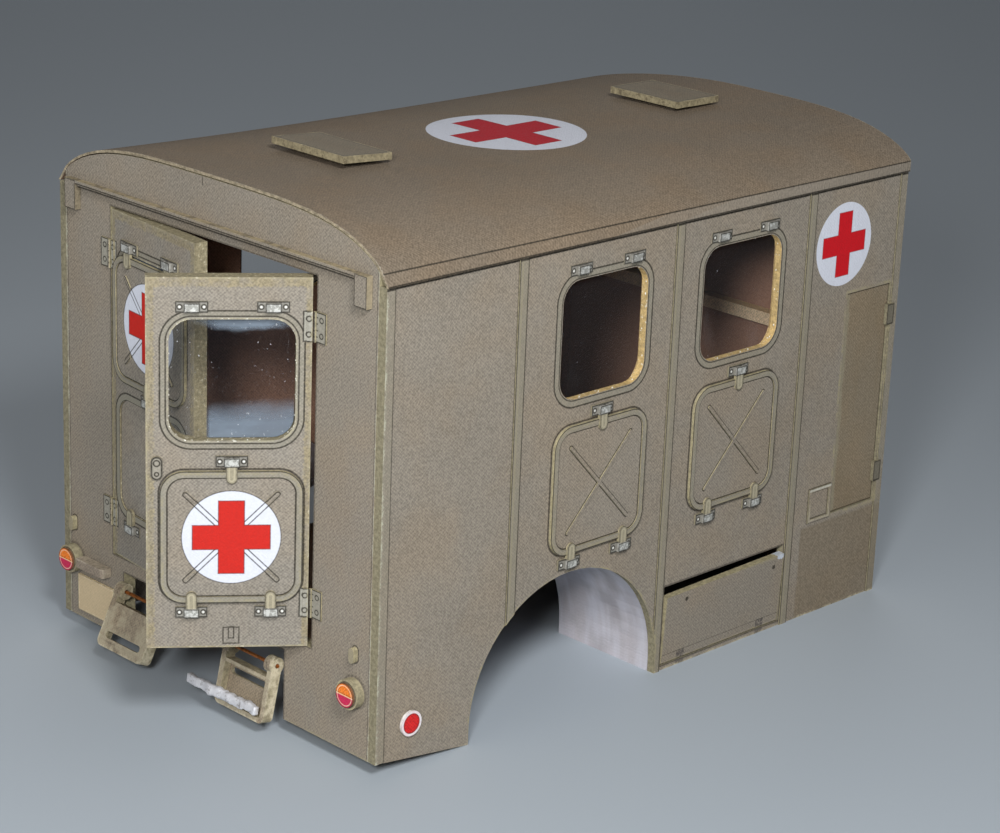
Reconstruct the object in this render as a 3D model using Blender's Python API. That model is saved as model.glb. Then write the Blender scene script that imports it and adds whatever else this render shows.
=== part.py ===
"""Printed-card scale model of a light military ambulance body, 1:32.

Only the box body exists: roof, walls, floor, two rear door leaves, four side
windows with shutters, two locker flaps and two stirrup steps on a wire.
Metres, +Z up, +X forward, +Y to the vehicle's left. The body stands on Z = 0.
Inside the body frame, X runs forward from the outer face of the rear wall.
"""
import math

import bmesh
import bpy
from mathutils import Vector

# Whole body
BODY_WIDTH = 0.0684
BODY_LENGTH = 0.1053
HALF_WIDTH = BODY_WIDTH / 2
GLUE_GAP = 0.0001
CUT_OVERRUN = 0.001
SIDES = (("right", -1), ("left", 1))
CORNER_STEPS = 6
ROUND_STEPS = 28
WIRE_SIDES = 12

# Card thicknesses
SKIN_CARD = 0.0011
LINING_CARD = 0.0011
ROOF_CARD = 0.0004
END_WALL_CARD = 0.0020
FLOOR_CARD = 0.0011
FILM = 0.00025
THIN_CARD = 0.0003

# Roof: the fold along each side stands further in at the rear, and the left
# shoulder grows rounder towards the front
ROOF_FOLD_Z = 0.0693
ROOF_RISE = 0.00595
ROOF_FLANGE = 0.0016
ROOF_FRONT_DROP = 0.0005
ROOF_SAG = 0.0009
ROOF_REAR_INSET = 0.0012
ROOF_CROWN_POWER = 4.0
ROOF_LEFT_FRONT_POWER = 1.8
ROOF_SHOULDER_POWER = 0.77
ROOF_ARC_STEPS = 32
ROOF_LENGTH_STEPS = 8
ROOF_HALF_WIDTH = HALF_WIDTH + GLUE_GAP + ROOF_CARD
FLANGE_Z = ROOF_FOLD_Z - ROOF_FLANGE

# Lower edge: it rises from the wheel arch to the rear wall
REAR_LIFT = 0.0023
ARCH_CENTRE_X = 0.0358
ARCH_CENTRE_Z = 0.0021
ARCH_RADIUS = 0.0186
ARCH_STEPS = 28
ARCH_DEPTH = 0.0180

# Inner floor: the door sill stands on its top face
FLOOR_TOP_Z = 0.0144
FLOOR_SIDE_CLEAR = 0.0004

# Side windows and their shutters
WINDOW_REAR_X = 0.0403
WINDOW_SPACING = 0.0283
WINDOW_PLACES = (("rear", WINDOW_REAR_X), ("front", WINDOW_REAR_X + WINDOW_SPACING))
WINDOW_WIDTH = 0.0166
WINDOW_HEIGHT = 0.0168
WINDOW_CENTRE_Z = 0.0544
WINDOW_RADIUS = 0.0030
WINDOW_FILM_MARGIN = 0.0012
SHUTTER_WIDTH = 0.0184
SHUTTER_HEIGHT = 0.0188
SHUTTER_CENTRE_Z = 0.0330
SHUTTER_RADIUS = 0.0032
SHUTTER_RIM = 0.0009
SHUTTER_RIM_RISE = 0.00015
CROSS_RIB_WIDTH = 0.0005
CROSS_RIB_RISE = 0.00015
CROSS_RIB_SPAN_X = 0.0118
CROSS_RIB_SPAN_Z = 0.0124
SIDE_RIB_START_SHARE = 0.0
DOOR_RIB_START_SHARE = 0.82

# Turn clamps that hold the shutters, and the clips over each window
CLAMP_SPREAD = 0.0052
CLAMP_STANDOFF = 0.0013
CLAMP_BASE_WIDTH = 0.0042
CLAMP_BASE_HEIGHT = 0.0015
CLAMP_BLOCK_WIDTH = 0.0020
CLAMP_BLOCK_HEIGHT = 0.0012
CLAMP_BLOCK_RISE = 0.0009
CLAMP_TONGUE_WIDTH = 0.0015
CLAMP_TONGUE_REACH = 0.0017
CLAMP_TONGUE_RISE = 0.0007
CLAMP_TONGUE_STEPS = 5
CLIP_ABOVE_WINDOW = 0.0099

# Raised seam strips on the side walls: distance of the rear edge from the rear
SEAM_STARTS_X = (0.0234, 0.0539, 0.0826)
SEAM_WIDTH = 0.0016
SEAM_RISE = 0.0002
CORNER_STRIP = 0.0015

# Locker opening and flap
LOCKER_SEAM_GAP = 0.0003
LOCKER_START_X = SEAM_STARTS_X[1] + SEAM_WIDTH + LOCKER_SEAM_GAP
LOCKER_END_X = SEAM_STARTS_X[2] - LOCKER_SEAM_GAP
LOCKER_SILL_Z = 0.0008
LOCKER_TOP_Z = 0.0131
FLAP_REAR_HEIGHT = 0.0105
FLAP_FRONT_HEIGHT = 0.0110
FLAP_CLEARANCE = 0.0002
FLAP_REST_ANGLE = math.radians(3.0)

# Front hatch on each side wall, its hinge clips and the filler frame behind it
HATCH_FRONT_MARGIN = 0.0017
HATCH_WIDTH = 0.0104
HATCH_END_X = BODY_LENGTH - HATCH_FRONT_MARGIN
HATCH_START_X = HATCH_END_X - HATCH_WIDTH
HATCH_BOTTOM_Z = 0.0156
HATCH_TOP_Z = 0.0506
HATCH_RECESS = 0.0003
HATCH_CLIP_Z = (0.0204, 0.0457)
HATCH_CLIP_WIDTH = 0.0016
HATCH_CLIP_HEIGHT = 0.0032
HATCH_CLIP_RISE = 0.0004
FILLER_WIDTH = 0.0052
FILLER_HEIGHT = 0.0054
FILLER_BOTTOM_Z = 0.0153
FILLER_HATCH_GAP = 0.0004
FILLER_BAR = 0.0005

# Rain rail above the doorway
RAIL_FOLD_GAP = 0.0005
RAIL_HALF_LENGTH = 0.0318
RAIL_TOP_Z = ROOF_FOLD_Z - RAIL_FOLD_GAP
RAIL_UPPER_HEIGHT = 0.0005
RAIL_UPPER_DEPTH = 0.0010
RAIL_LOWER_HEIGHT = 0.0005
RAIL_LOWER_DEPTH = 0.0006
RAIL_END_WIDTH = 0.0024
RAIL_END_DROP = 0.0043

# Rear doorway and its two leaves
DOORWAY_RAIL_GAP = 0.0014
DOORWAY_CENTRE_Y = 0.0007
DOORWAY_WIDTH = 0.0438
DOORWAY_BOTTOM_Z = 0.0147
DOORWAY_TOP_Z = RAIL_TOP_Z - RAIL_UPPER_HEIGHT - RAIL_LOWER_HEIGHT - DOORWAY_RAIL_GAP
LEAF_THICKNESS = 0.0020
LEAF_CLEARANCE = 0.0003
LEAF_WIDTH = 0.0213
LEAF_RECESS = 0.00025
RIGHT_LEAF_REST = math.radians(52.6)
LEFT_LEAF_REST = math.radians(6.0)
LEAF_WINDOW_WIDTH = 0.0163
LEAF_WINDOW_HEIGHT = 0.0164
LEAF_WINDOW_CENTRE_Z = 0.0523
LEAF_SHUTTER_WIDTH = 0.0187
LEAF_SHUTTER_HEIGHT = 0.0185
LEAF_SHUTTER_LOW_Z = 0.0308
LEAF_SHUTTER_HIGH_Z = 0.0511
LEAF_FEATURE_INSET = 0.0105

# Door hinges and the lock of the right leaf
HINGE_STANDOFF = 0.0003
HINGE_CENTRES_Z = (0.0213, 0.0596)
HINGE_HEIGHT = 0.0041
HINGE_PLATE = 0.0002
HINGE_LEAF_REACH = 0.0010
HINGE_WALL_REACH = 0.0020
HINGE_KNUCKLE_RADIUS = 0.0002
LOCK_Z = 0.0404
LOCK_HEIGHT = 0.0033
LOCK_WIDTH = 0.0016
LOCK_EDGE_GAP = 0.0006
LOCK_RISE = 0.0003

# Stirrup steps and the wire they hang on
WIRE_RADIUS = 0.00025
WIRE_X = -0.0009
WIRE_Z = 0.0103
WIRE_END = 0.00015
WIRE_LUG_GAP = 0.0002
WIRE_LUG_CARD = 0.0007
WIRE_LUG_REACH = 0.0011
STEP_CHEEK = 0.0009
STEP_LENGTH = 0.0084
STEP_DEPTH = 0.0017
STEP_CORNER = 0.0010
STEP_FOOT = 0.0007
STEP_EAR_RADIUS = 0.0012
STEP_BOSS = 0.0006
STEP_HOLE_RADIUS = 0.00036
STEP_PLATE = 0.0005
STEP_SHELF_DROP = 0.0018
STEP_SLOT_HEIGHT = 0.0010
STEP_SLOT_MARGIN = 0.0004
STEP_SLOT_FROM_EDGE = 0.0007
TREAD_THICKNESS = 0.0010
TREAD_HEIGHT = 0.0013
TREAD_RISE = 0.0011
TREAD_OVERHANG = 0.0053
STEP_BAY_CLEAR = 0.0003
STEP_BAY_TOP_Z = 0.0125

# Lamps with a marker tab over each, reflectors, plate and its lamp. Each lamp
# row gives its distance from the side
TAIL_LAMPS = (("right", -1, 0.0042), ("left", 1, 0.0024))
TAIL_LAMP_Z = 0.0114
TAIL_LAMP_RADIUS = 0.0021
TAIL_LAMP_DEPTH = 0.0013
LENS_RADIUS = 0.0017
LENS_RISE = 0.0003
MARKER_BOTTOM_Z = 0.0157
MARKER_HEIGHT = 0.0022
MARKER_WIDTH = 0.0010
MARKER_RISE = 0.0008
REFLECTOR_X = 0.0061
REFLECTOR_Z = 0.0067
REFLECTOR_RADIUS = 0.0018
REFLECTOR_RISE = 0.0004
PLATE_SIDE_INSET = 0.0078
PLATE_CENTRE_Z = 0.0064
PLATE_WIDTH = 0.0086
PLATE_HEIGHT = 0.0056
PLATE_LAMP_Z = 0.0116
PLATE_LAMP_WIDTH = 0.0063
PLATE_LAMP_CLEAR = 0.0003
PLATE_LAMP_HEIGHT = 0.0014
PLATE_LAMP_DEPTH = 0.0016
PLATE_LAMP_HIGH_Y = HALF_WIDTH - TAIL_LAMPS[1][2] - TAIL_LAMP_RADIUS - PLATE_LAMP_CLEAR
PLATE_LAMP_LOW_Y = PLATE_LAMP_HIGH_Y - PLATE_LAMP_WIDTH

# Steps: outer edge and width along Y, and rest angle. The left one keeps clear
# of the plate's lamp
STEP_LAMP_GAP = 0.0033
STEP_PLACES = (
    ("right", -1, 0.0153, 0.0105, math.radians(12.0)),
    ("left", 1, PLATE_LAMP_LOW_Y - STEP_LAMP_GAP, 0.0105, math.radians(26.0)),
)

# Roof vents: centre along X and Y, length along X, width along Y, and how far
# the rear edge stands up from the front edge
ROOF_VENTS = (
    ("rear", 0.0214, 0.0010, 0.0088, 0.0150, 0.0006),
    ("front", 0.0880, 0.0000, 0.0094, 0.0138, 0.0001),
)
VENT_CARD = 0.0010
VENT_GAP = 0.0004
VENT_FOOT_INSET = 0.0022

# Inner brace on the front wall
BRACE_Z = 0.0390
BRACE_HEIGHT = 0.0020
BRACE_DEPTH = 0.0020


def make_material(name, colour, roughness, metallic=0.0, alpha=1.0):
    material = bpy.data.materials.new(name)
    material.use_nodes = True
    shader = material.node_tree.nodes["Principled BSDF"]
    shader.inputs["Base Color"].default_value = (*colour, 1.0)
    shader.inputs["Roughness"].default_value = roughness
    shader.inputs["Metallic"].default_value = metallic
    shader.inputs["Alpha"].default_value = alpha
    return material


def prism(bm, outline, axis, low, high):
    """Extrude a closed outline, drawn in the two other axes, along one axis."""
    index = "xyz".index(axis)
    first, second = [other for other in range(3) if other != index]
    verts = []
    for a, b in outline:
        place = [0.0, 0.0, 0.0]
        place[index], place[first], place[second] = low, a, b
        verts.append(bm.verts.new(place))
    face = bm.faces.new(verts)
    grown = bmesh.ops.extrude_face_region(bm, geom=[face])
    shift = Vector()
    shift[index] = high - low
    tops = [item for item in grown["geom"] if isinstance(item, bmesh.types.BMVert)]
    bmesh.ops.translate(bm, verts=tops, vec=shift)


def rectangle(a_range, b_range):
    (a_low, a_high), (b_low, b_high) = a_range, b_range
    return [(a_low, b_low), (a_high, b_low), (a_high, b_high), (a_low, b_high)]


def around(centre, size):
    return centre - size / 2, centre + size / 2


def box(bm, x_range, y_range, z_range):
    prism(bm, rectangle(y_range, z_range), "x", *x_range)


def arc(centre, radius, start, end, steps):
    return [
        (centre[0] + radius * math.cos(start + (end - start) * i / steps),
         centre[1] + radius * math.sin(start + (end - start) * i / steps))
        for i in range(steps + 1)
    ]


def rounded_rectangle(centre, width, height, radius, steps=CORNER_STEPS):
    points = []
    corners = ((1, 1, 0), (-1, 1, 1), (-1, -1, 2), (1, -1, 3))
    for side_a, side_b, quarter in corners:
        middle = (centre[0] + side_a * (width / 2 - radius),
                  centre[1] + side_b * (height / 2 - radius))
        start = quarter * math.pi / 2
        points += arc(middle, radius, start, start + math.pi / 2, steps)
    return points


def circle(centre, radius, steps=ROUND_STEPS):
    return arc(centre, radius, 0, 2 * math.pi, steps)[:-1]


def capsule(start, end, radius, steps=CORNER_STEPS):
    """A straight bar with round ends."""
    angle = math.atan2(end[1] - start[1], end[0] - start[0])
    head = arc(end, radius, angle - math.pi / 2, angle + math.pi / 2, steps)
    tail = arc(start, radius, angle + math.pi / 2, angle + 3 * math.pi / 2, steps)
    return head + tail


def finish_mesh(name, bm):
    bmesh.ops.recalc_face_normals(bm, faces=bm.faces)
    mesh = bpy.data.meshes.new(name)
    bm.to_mesh(mesh)
    bm.free()
    return mesh


def make_part(name, draw, material, parent):
    """One sub-part: draw fills an empty bmesh with closed prisms."""
    bm = bmesh.new()
    draw(bm)
    part = bpy.data.objects.new(name, finish_mesh(name, bm))
    part.data.materials.append(material)
    part.parent = parent
    bpy.context.collection.objects.link(part)
    return part


def combine(part, draw, operation):
    """Cut or fuse a helper shape, which stays hidden from renders."""
    bm = bmesh.new()
    draw(bm)
    name = part.name + "_" + operation.lower() + "_" + str(len(part.modifiers))
    helper = bpy.data.objects.new(name, finish_mesh(name, bm))
    helper.parent = part.parent
    helper.display_type = "WIRE"
    helper.hide_render = True
    bpy.context.collection.objects.link(helper)
    modifier = part.modifiers.new(name, "BOOLEAN")
    modifier.operation = operation
    modifier.solver = "EXACT"
    modifier.use_self = True
    modifier.object = helper


def round_off(part, sharp_degrees=30):
    part.data.shade_smooth()
    part.data.set_sharp_from_angle(angle=math.radians(sharp_degrees))


def pivot(name, location, rotation, parent):
    """An empty on a joint axis; what it carries is drawn around that axis."""
    empty = bpy.data.objects.new(name, None)
    empty.location = location
    empty.rotation_euler = rotation
    empty.parent = parent
    bpy.context.collection.objects.link(empty)
    return empty


def roof_drop(x):
    """How far the crown lies below its height at the rear wall."""
    share = x / BODY_LENGTH
    return ROOF_FRONT_DROP * share + 4 * ROOF_SAG * share * (1 - share)


def roof_surface(x, depth):
    """Half width and rise of the roof's arch at one X, this deep in the card."""
    half = ROOF_HALF_WIDTH - ROOF_REAR_INSET * (1 - x / BODY_LENGTH) - depth
    return half, ROOF_RISE - roof_drop(x) - depth


def roof_height(x, y, depth):
    half, rise = roof_surface(x, depth)
    ratio = min(abs(y) / half, 1.0)
    power = ROOF_CROWN_POWER
    if y > 0:
        power -= (ROOF_CROWN_POWER - ROOF_LEFT_FRONT_POWER) * x / BODY_LENGTH
    return ROOF_FOLD_Z + rise * (1 - ratio ** power) ** ROOF_SHOULDER_POWER


def roof_curve(x, depth):
    """Points over the body from the right fold to the left one, at one X."""
    half = roof_surface(x, depth)[0]
    places = [-half * math.cos(math.pi * i / ROOF_ARC_STEPS) for i in range(ROOF_ARC_STEPS + 1)]
    return [(y, roof_height(x, y, depth)) for y in places]


def build_roof(paint, body):
    """Curved sheet with a folded flange along each side, sagging a little."""
    inner_half = ROOF_HALF_WIDTH - ROOF_CARD

    def section(x):
        edge = [(-inner_half, FLANGE_Z), (-ROOF_HALF_WIDTH, FLANGE_Z)]
        far_edge = [(ROOF_HALF_WIDTH, FLANGE_Z), (inner_half, FLANGE_Z)]
        return edge + roof_curve(x, 0) + far_edge + roof_curve(x, ROOF_CARD)[::-1]

    def draw(bm):
        rings = []
        for i in range(ROOF_LENGTH_STEPS + 1):
            x = BODY_LENGTH * i / ROOF_LENGTH_STEPS
            rings.append([bm.verts.new((x, y, z)) for y, z in section(x)])
        count = len(rings[0])
        for near, far in zip(rings, rings[1:]):
            for i in range(count):
                j = (i + 1) % count
                bm.faces.new((near[i], near[j], far[j], far[i]))
        for ring in (rings[0], rings[-1]):
            cap_roof_end(bm, ring)

    round_off(make_part("roof_skin", draw, paint, body))


def cap_roof_end(bm, ring):
    """Close an end of the sheet with a strip of quads between its two faces."""
    outer = ring[1:len(ring) // 2 + 1]
    inner = [ring[0]] + ring[:len(ring) // 2:-1]
    for i in range(len(outer) - 1):
        bm.faces.new((outer[i], outer[i + 1], inner[i + 1], inner[i]))


def side_outline():
    return [(0, REAR_LIFT), (ARCH_CENTRE_X - ARCH_RADIUS, 0), (BODY_LENGTH, 0),
            (BODY_LENGTH, FLANGE_Z), (0, FLANGE_Z)]


def arch_outline(radius):
    """Half circle on short upright legs that run past the lower edge."""
    centre = (ARCH_CENTRE_X, ARCH_CENTRE_Z)
    over = arc(centre, radius, 0, math.pi, ARCH_STEPS)
    return over + [(ARCH_CENTRE_X - radius, -CUT_OVERRUN), (ARCH_CENTRE_X + radius, -CUT_OVERRUN)]


def window_outline(centre, width, height, gap):
    return rounded_rectangle(centre, width - 2 * gap, height - 2 * gap, WINDOW_RADIUS - gap)


def add_clamp(bm, axis, centre, seat, outward, towards):
    """Turn clamp: a base, a raised block and, where towards says up or down, a
    round-ended tongue that reaches over the shutter."""
    base = rectangle(around(centre[0], CLAMP_BASE_WIDTH), around(centre[1], CLAMP_BASE_HEIGHT))
    prism(bm, base, axis, seat, seat + outward * THIN_CARD)
    block = rectangle(around(centre[0], CLAMP_BLOCK_WIDTH), around(centre[1], CLAMP_BLOCK_HEIGHT))
    root = seat + outward * THIN_CARD / 2
    prism(bm, block, axis, root, seat + outward * CLAMP_BLOCK_RISE)
    if towards:
        reach = CLAMP_STANDOFF + CLAMP_TONGUE_REACH - CLAMP_TONGUE_WIDTH / 2
        tip = (centre[0], centre[1] + towards * reach)
        outline = capsule(centre, tip, CLAMP_TONGUE_WIDTH / 2, CLAMP_TONGUE_STEPS)
        prism(bm, outline, axis, root, seat + outward * CLAMP_TONGUE_RISE)


def add_clips(bm, axis, centre, face, outward):
    """Two window clips: the same base and block, sunk into the panel."""
    for spread in (-CLAMP_SPREAD, CLAMP_SPREAD):
        place = (centre[0] + spread, centre[1] + CLIP_ABOVE_WINDOW)
        add_clamp(bm, axis, place, face - outward * THIN_CARD / 2, outward, 0)


def build_side_wall(label, side, paint, body):
    face = side * HALF_WIDTH

    def draw(bm):
        prism(bm, side_outline(), "y", side * (HALF_WIDTH - SKIN_CARD), face)

    def raised(bm):
        root = side * (HALF_WIDTH - SKIN_CARD / 2)
        strips = [(start, SEAM_WIDTH, 0) for start in SEAM_STARTS_X]
        strips += [(0, CORNER_STRIP, REAR_LIFT), (BODY_LENGTH - CORNER_STRIP, CORNER_STRIP, 0)]
        for start, width, foot in strips:
            outline = rectangle((start, start + width), (foot, FLANGE_Z - GLUE_GAP))
            prism(bm, outline, "y", root, side * (HALF_WIDTH + SEAM_RISE))
        for _, centre_x in WINDOW_PLACES:
            add_clips(bm, "y", (centre_x, WINDOW_CENTRE_Z), face, side)

    def hatch_clips(bm):
        root = side * (HALF_WIDTH - HATCH_RECESS + GLUE_GAP)
        for centre_z in HATCH_CLIP_Z:
            outline = rectangle(around(HATCH_END_X, HATCH_CLIP_WIDTH), around(centre_z, HATCH_CLIP_HEIGHT))
            prism(bm, outline, "y", root, side * (HALF_WIDTH + HATCH_CLIP_RISE))

    def filler(bm):
        high_x = HATCH_START_X - FILLER_HATCH_GAP
        outline = rectangle((high_x - FILLER_WIDTH, high_x), (FILLER_BOTTOM_Z, FILLER_BOTTOM_Z + FILLER_HEIGHT))
        prism(bm, outline, "y", side * (HALF_WIDTH - SKIN_CARD / 2), side * (HALF_WIDTH + SEAM_RISE))

    def openings(bm):
        inner = side * (HALF_WIDTH - SKIN_CARD - CUT_OVERRUN)
        outer = side * (HALF_WIDTH + CUT_OVERRUN)
        prism(bm, arch_outline(ARCH_RADIUS), "y", inner, outer)
        for _, centre_x in WINDOW_PLACES:
            outline = window_outline((centre_x, WINDOW_CENTRE_Z), WINDOW_WIDTH, WINDOW_HEIGHT, 0)
            prism(bm, outline, "y", inner, outer)
        locker = rectangle((LOCKER_START_X, LOCKER_END_X), (LOCKER_SILL_Z, LOCKER_TOP_Z))
        hatch = rectangle((HATCH_START_X, HATCH_END_X), (HATCH_BOTTOM_Z, HATCH_TOP_Z))
        for outline in (locker, hatch):
            prism(bm, outline, "y", inner, outer)
        high_x = HATCH_START_X - FILLER_HATCH_GAP
        field = rectangle((high_x - FILLER_WIDTH + FILLER_BAR, high_x - FILLER_BAR),
                          (FILLER_BOTTOM_Z + FILLER_BAR, FILLER_BOTTOM_Z + FILLER_HEIGHT - FILLER_BAR))
        prism(bm, field, "y", face, outer)

    wall = make_part("side_wall_" + label, draw, paint, body)
    combine(wall, raised, "UNION")
    combine(wall, filler, "UNION")
    combine(wall, openings, "DIFFERENCE")
    combine(wall, hatch_clips, "UNION")


def build_side_lining(label, side, card, body):
    """Inner card of the side wall, from the floor up. Its larger openings leave
    room for the film behind each window."""
    outer = side * (HALF_WIDTH - SKIN_CARD - GLUE_GAP)
    inner = outer - side * LINING_CARD
    rear = END_WALL_CARD + GLUE_GAP
    front = BODY_LENGTH - END_WALL_CARD - GLUE_GAP

    def draw(bm):
        outline = rectangle((rear, front), (FLOOR_TOP_Z + GLUE_GAP, ROOF_FOLD_Z - GLUE_GAP))
        prism(bm, outline, "y", outer, inner)

    def openings(bm):
        low, high = inner - side * CUT_OVERRUN, outer + side * CUT_OVERRUN
        for _, centre_x in WINDOW_PLACES:
            outline = window_outline((centre_x, WINDOW_CENTRE_Z), WINDOW_WIDTH, WINDOW_HEIGHT,
                                     -WINDOW_FILM_MARGIN)
            prism(bm, outline, "y", low, high)
        prism(bm, arch_outline(ARCH_RADIUS + SKIN_CARD + GLUE_GAP), "y", low, high)

    combine(make_part("side_lining_" + label, draw, card, body), openings, "DIFFERENCE")


def build_side_windows(label, side, film, paint, body):
    lining_face = HALF_WIDTH - SKIN_CARD - GLUE_GAP
    for name, centre_x in WINDOW_PLACES:
        def pane(bm):
            outline = window_outline((centre_x, WINDOW_CENTRE_Z), WINDOW_WIDTH, WINDOW_HEIGHT,
                                     GLUE_GAP - WINDOW_FILM_MARGIN)
            prism(bm, outline, "y", side * (lining_face - FILM), side * lining_face)

        make_part("window_pane_" + name + "_" + label, pane, film, body)
        build_shutter("shutter_" + name + "_" + label, (centre_x, SHUTTER_CENTRE_Z),
                      (SHUTTER_WIDTH, SHUTTER_HEIGHT), "y", side * (HALF_WIDTH + GLUE_GAP),
                      side, SIDE_RIB_START_SHARE,
                      clamp_places(centre_x, SHUTTER_CENTRE_Z, SHUTTER_HEIGHT, 1), paint, body)


def clamp_places(centre_a, centre_z, height, single):
    """Clamps round a shutter: one over it where single is 1, or under it where
    single is -1, and two on its other side."""
    reach = single * (height / 2 + CLAMP_STANDOFF)
    places = [((centre_a, centre_z + reach), -single)]
    return places + [((centre_a + spread, centre_z - reach), single)
                     for spread in (-CLAMP_SPREAD, CLAMP_SPREAD)]


def build_shutter(name, centre, size, axis, seat, outward, rib_start_share, clamps, paint, parent):
    """Flat card plate with a raised rim, crossed ribs and its clamps. The ribs
    start at a share of their length from the middle."""
    width, height = size
    face = seat + outward * THIN_CARD
    root = seat + outward * THIN_CARD / 2

    def draw(bm):
        prism(bm, rounded_rectangle(centre, width, height, SHUTTER_RADIUS), axis, seat, face)

    def rim(bm):
        prism(bm, rounded_rectangle(centre, width, height, SHUTTER_RADIUS), axis,
              root, face + outward * SHUTTER_RIM_RISE)

    def field(bm):
        inner = rounded_rectangle(centre, width - 2 * SHUTTER_RIM, height - 2 * SHUTTER_RIM,
                                  SHUTTER_RADIUS - SHUTTER_RIM)
        prism(bm, inner, axis, face, face + outward * CUT_OVERRUN)

    def ribs(bm):
        half_a, half_b = CROSS_RIB_SPAN_X / 2, CROSS_RIB_SPAN_Z / 2
        for way_a in (-1, 1):
            for way_b in (-1, 1):
                start, end = [(centre[0] + way_a * half_a * share, centre[1] + way_b * half_b * share)
                              for share in (rib_start_share, 1)]
                prism(bm, capsule(start, end, CROSS_RIB_WIDTH / 2), axis, root, face + outward * CROSS_RIB_RISE)

    def hold(bm):
        for place, towards in clamps:
            add_clamp(bm, axis, place, seat, outward, towards)

    plate = make_part(name, draw, paint, parent)
    combine(plate, rim, "UNION")
    combine(plate, field, "DIFFERENCE")
    combine(plate, ribs, "UNION")
    combine(plate, hold, "UNION")


def build_hatch(label, side, paint, body):
    """Plain panel set back in its opening in the side wall."""
    def draw(bm):
        outline = rectangle((HATCH_START_X + GLUE_GAP, HATCH_END_X - GLUE_GAP),
                            (HATCH_BOTTOM_Z + GLUE_GAP, HATCH_TOP_Z - GLUE_GAP))
        prism(bm, outline, "y", side * (HALF_WIDTH - SKIN_CARD), side * (HALF_WIDTH - HATCH_RECESS))

    make_part("front_hatch_" + label, draw, paint, body)


def build_arch_liner(label, side, card, body):
    """Open tunnel of card over the wheel, standing behind the side wall."""
    outer = side * (HALF_WIDTH - SKIN_CARD - GLUE_GAP)

    def draw(bm):
        centre = (ARCH_CENTRE_X, ARCH_CENTRE_Z)
        outside = ARCH_RADIUS + SKIN_CARD
        over = arc(centre, outside, 0, math.pi, ARCH_STEPS)
        under = arc(centre, ARCH_RADIUS, math.pi, 0, ARCH_STEPS)
        rear_foot = [(ARCH_CENTRE_X - outside, 0), (ARCH_CENTRE_X - ARCH_RADIUS, 0)]
        front_foot = [(ARCH_CENTRE_X + ARCH_RADIUS, 0), (ARCH_CENTRE_X + outside, 0)]
        prism(bm, over + rear_foot + under + front_foot, "y", outer, outer - side * ARCH_DEPTH)

    round_off(make_part("wheel_arch_liner_" + label, draw, card, body))


def build_end_wall(name, x_range, foot_z, paint, body):
    """End wall whose upper edge follows the roof's inner face."""
    half = HALF_WIDTH - SKIN_CARD - GLUE_GAP

    def draw(bm):
        outline = [(half, foot_z), (-half, foot_z)]
        for i in range(ROOF_ARC_STEPS + 1):
            y = -half * math.cos(math.pi * i / ROOF_ARC_STEPS)
            outline.append((y, min(roof_height(x, y, ROOF_CARD) for x in x_range) - GLUE_GAP))
        prism(bm, outline, "x", *x_range)

    return make_part(name, draw, paint, body)


def build_rear_wall(paint, body):
    wall = build_end_wall("rear_wall", (0, END_WALL_CARD), REAR_LIFT, paint, body)

    def openings(bm):
        through = (-CUT_OVERRUN, END_WALL_CARD + CUT_OVERRUN)
        box(bm, through, around(DOORWAY_CENTRE_Y, DOORWAY_WIDTH), (DOORWAY_BOTTOM_Z, DOORWAY_TOP_Z))
        (_, _, right_reach, _, _), (_, _, left_reach, _, _) = STEP_PLACES
        box(bm, through, (-right_reach - STEP_BAY_CLEAR, left_reach + STEP_BAY_CLEAR),
            (REAR_LIFT - CUT_OVERRUN, STEP_BAY_TOP_Z))

    def raised(bm):
        root = END_WALL_CARD / 2
        for _, side, inset in TAIL_LAMPS:
            marker_y = side * (HALF_WIDTH - inset)
            ends = MARKER_BOTTOM_Z + MARKER_WIDTH / 2, MARKER_BOTTOM_Z + MARKER_HEIGHT - MARKER_WIDTH / 2
            outline = capsule((marker_y, ends[0]), (marker_y, ends[1]), MARKER_WIDTH / 2)
            prism(bm, outline, "x", -MARKER_RISE, root)
        for _, side in SIDES:
            jamb = DOORWAY_CENTRE_Y + side * DOORWAY_WIDTH / 2
            for centre_z in HINGE_CENTRES_Z:
                z_range = around(centre_z, HINGE_HEIGHT)
                box(bm, (-HINGE_PLATE, root), sorted((jamb, jamb + side * HINGE_WALL_REACH)), z_range)
                prism(bm, circle((-HINGE_STANDOFF, jamb), HINGE_KNUCKLE_RADIUS, WIRE_SIDES), "z", *z_range)
        for _, side, reach, width, _ in STEP_PLACES:
            near = side * (reach - width - WIRE_LUG_GAP)
            prism(bm, lug_outline(), "y", near, near - side * WIRE_LUG_CARD)

    def wire_hole(bm):
        prism(bm, circle((WIRE_X, WIRE_Z), STEP_HOLE_RADIUS, WIRE_SIDES), "y", -HALF_WIDTH, HALF_WIDTH)

    combine(wall, openings, "DIFFERENCE")
    combine(wall, raised, "UNION")
    combine(wall, wire_hole, "DIFFERENCE")


def lug_outline():
    """Card lug from the sill down to the wire, seen from the side."""
    ear = arc((WIRE_X, WIRE_Z), WIRE_LUG_REACH, math.radians(110), math.radians(340), CORNER_STEPS * 2)
    root = END_WALL_CARD / 2
    return ear + [(root, STEP_BAY_TOP_Z + GLUE_GAP), (root, DOORWAY_BOTTOM_Z - GLUE_GAP),
                  (-GLUE_GAP, DOORWAY_BOTTOM_Z - GLUE_GAP)]


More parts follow.
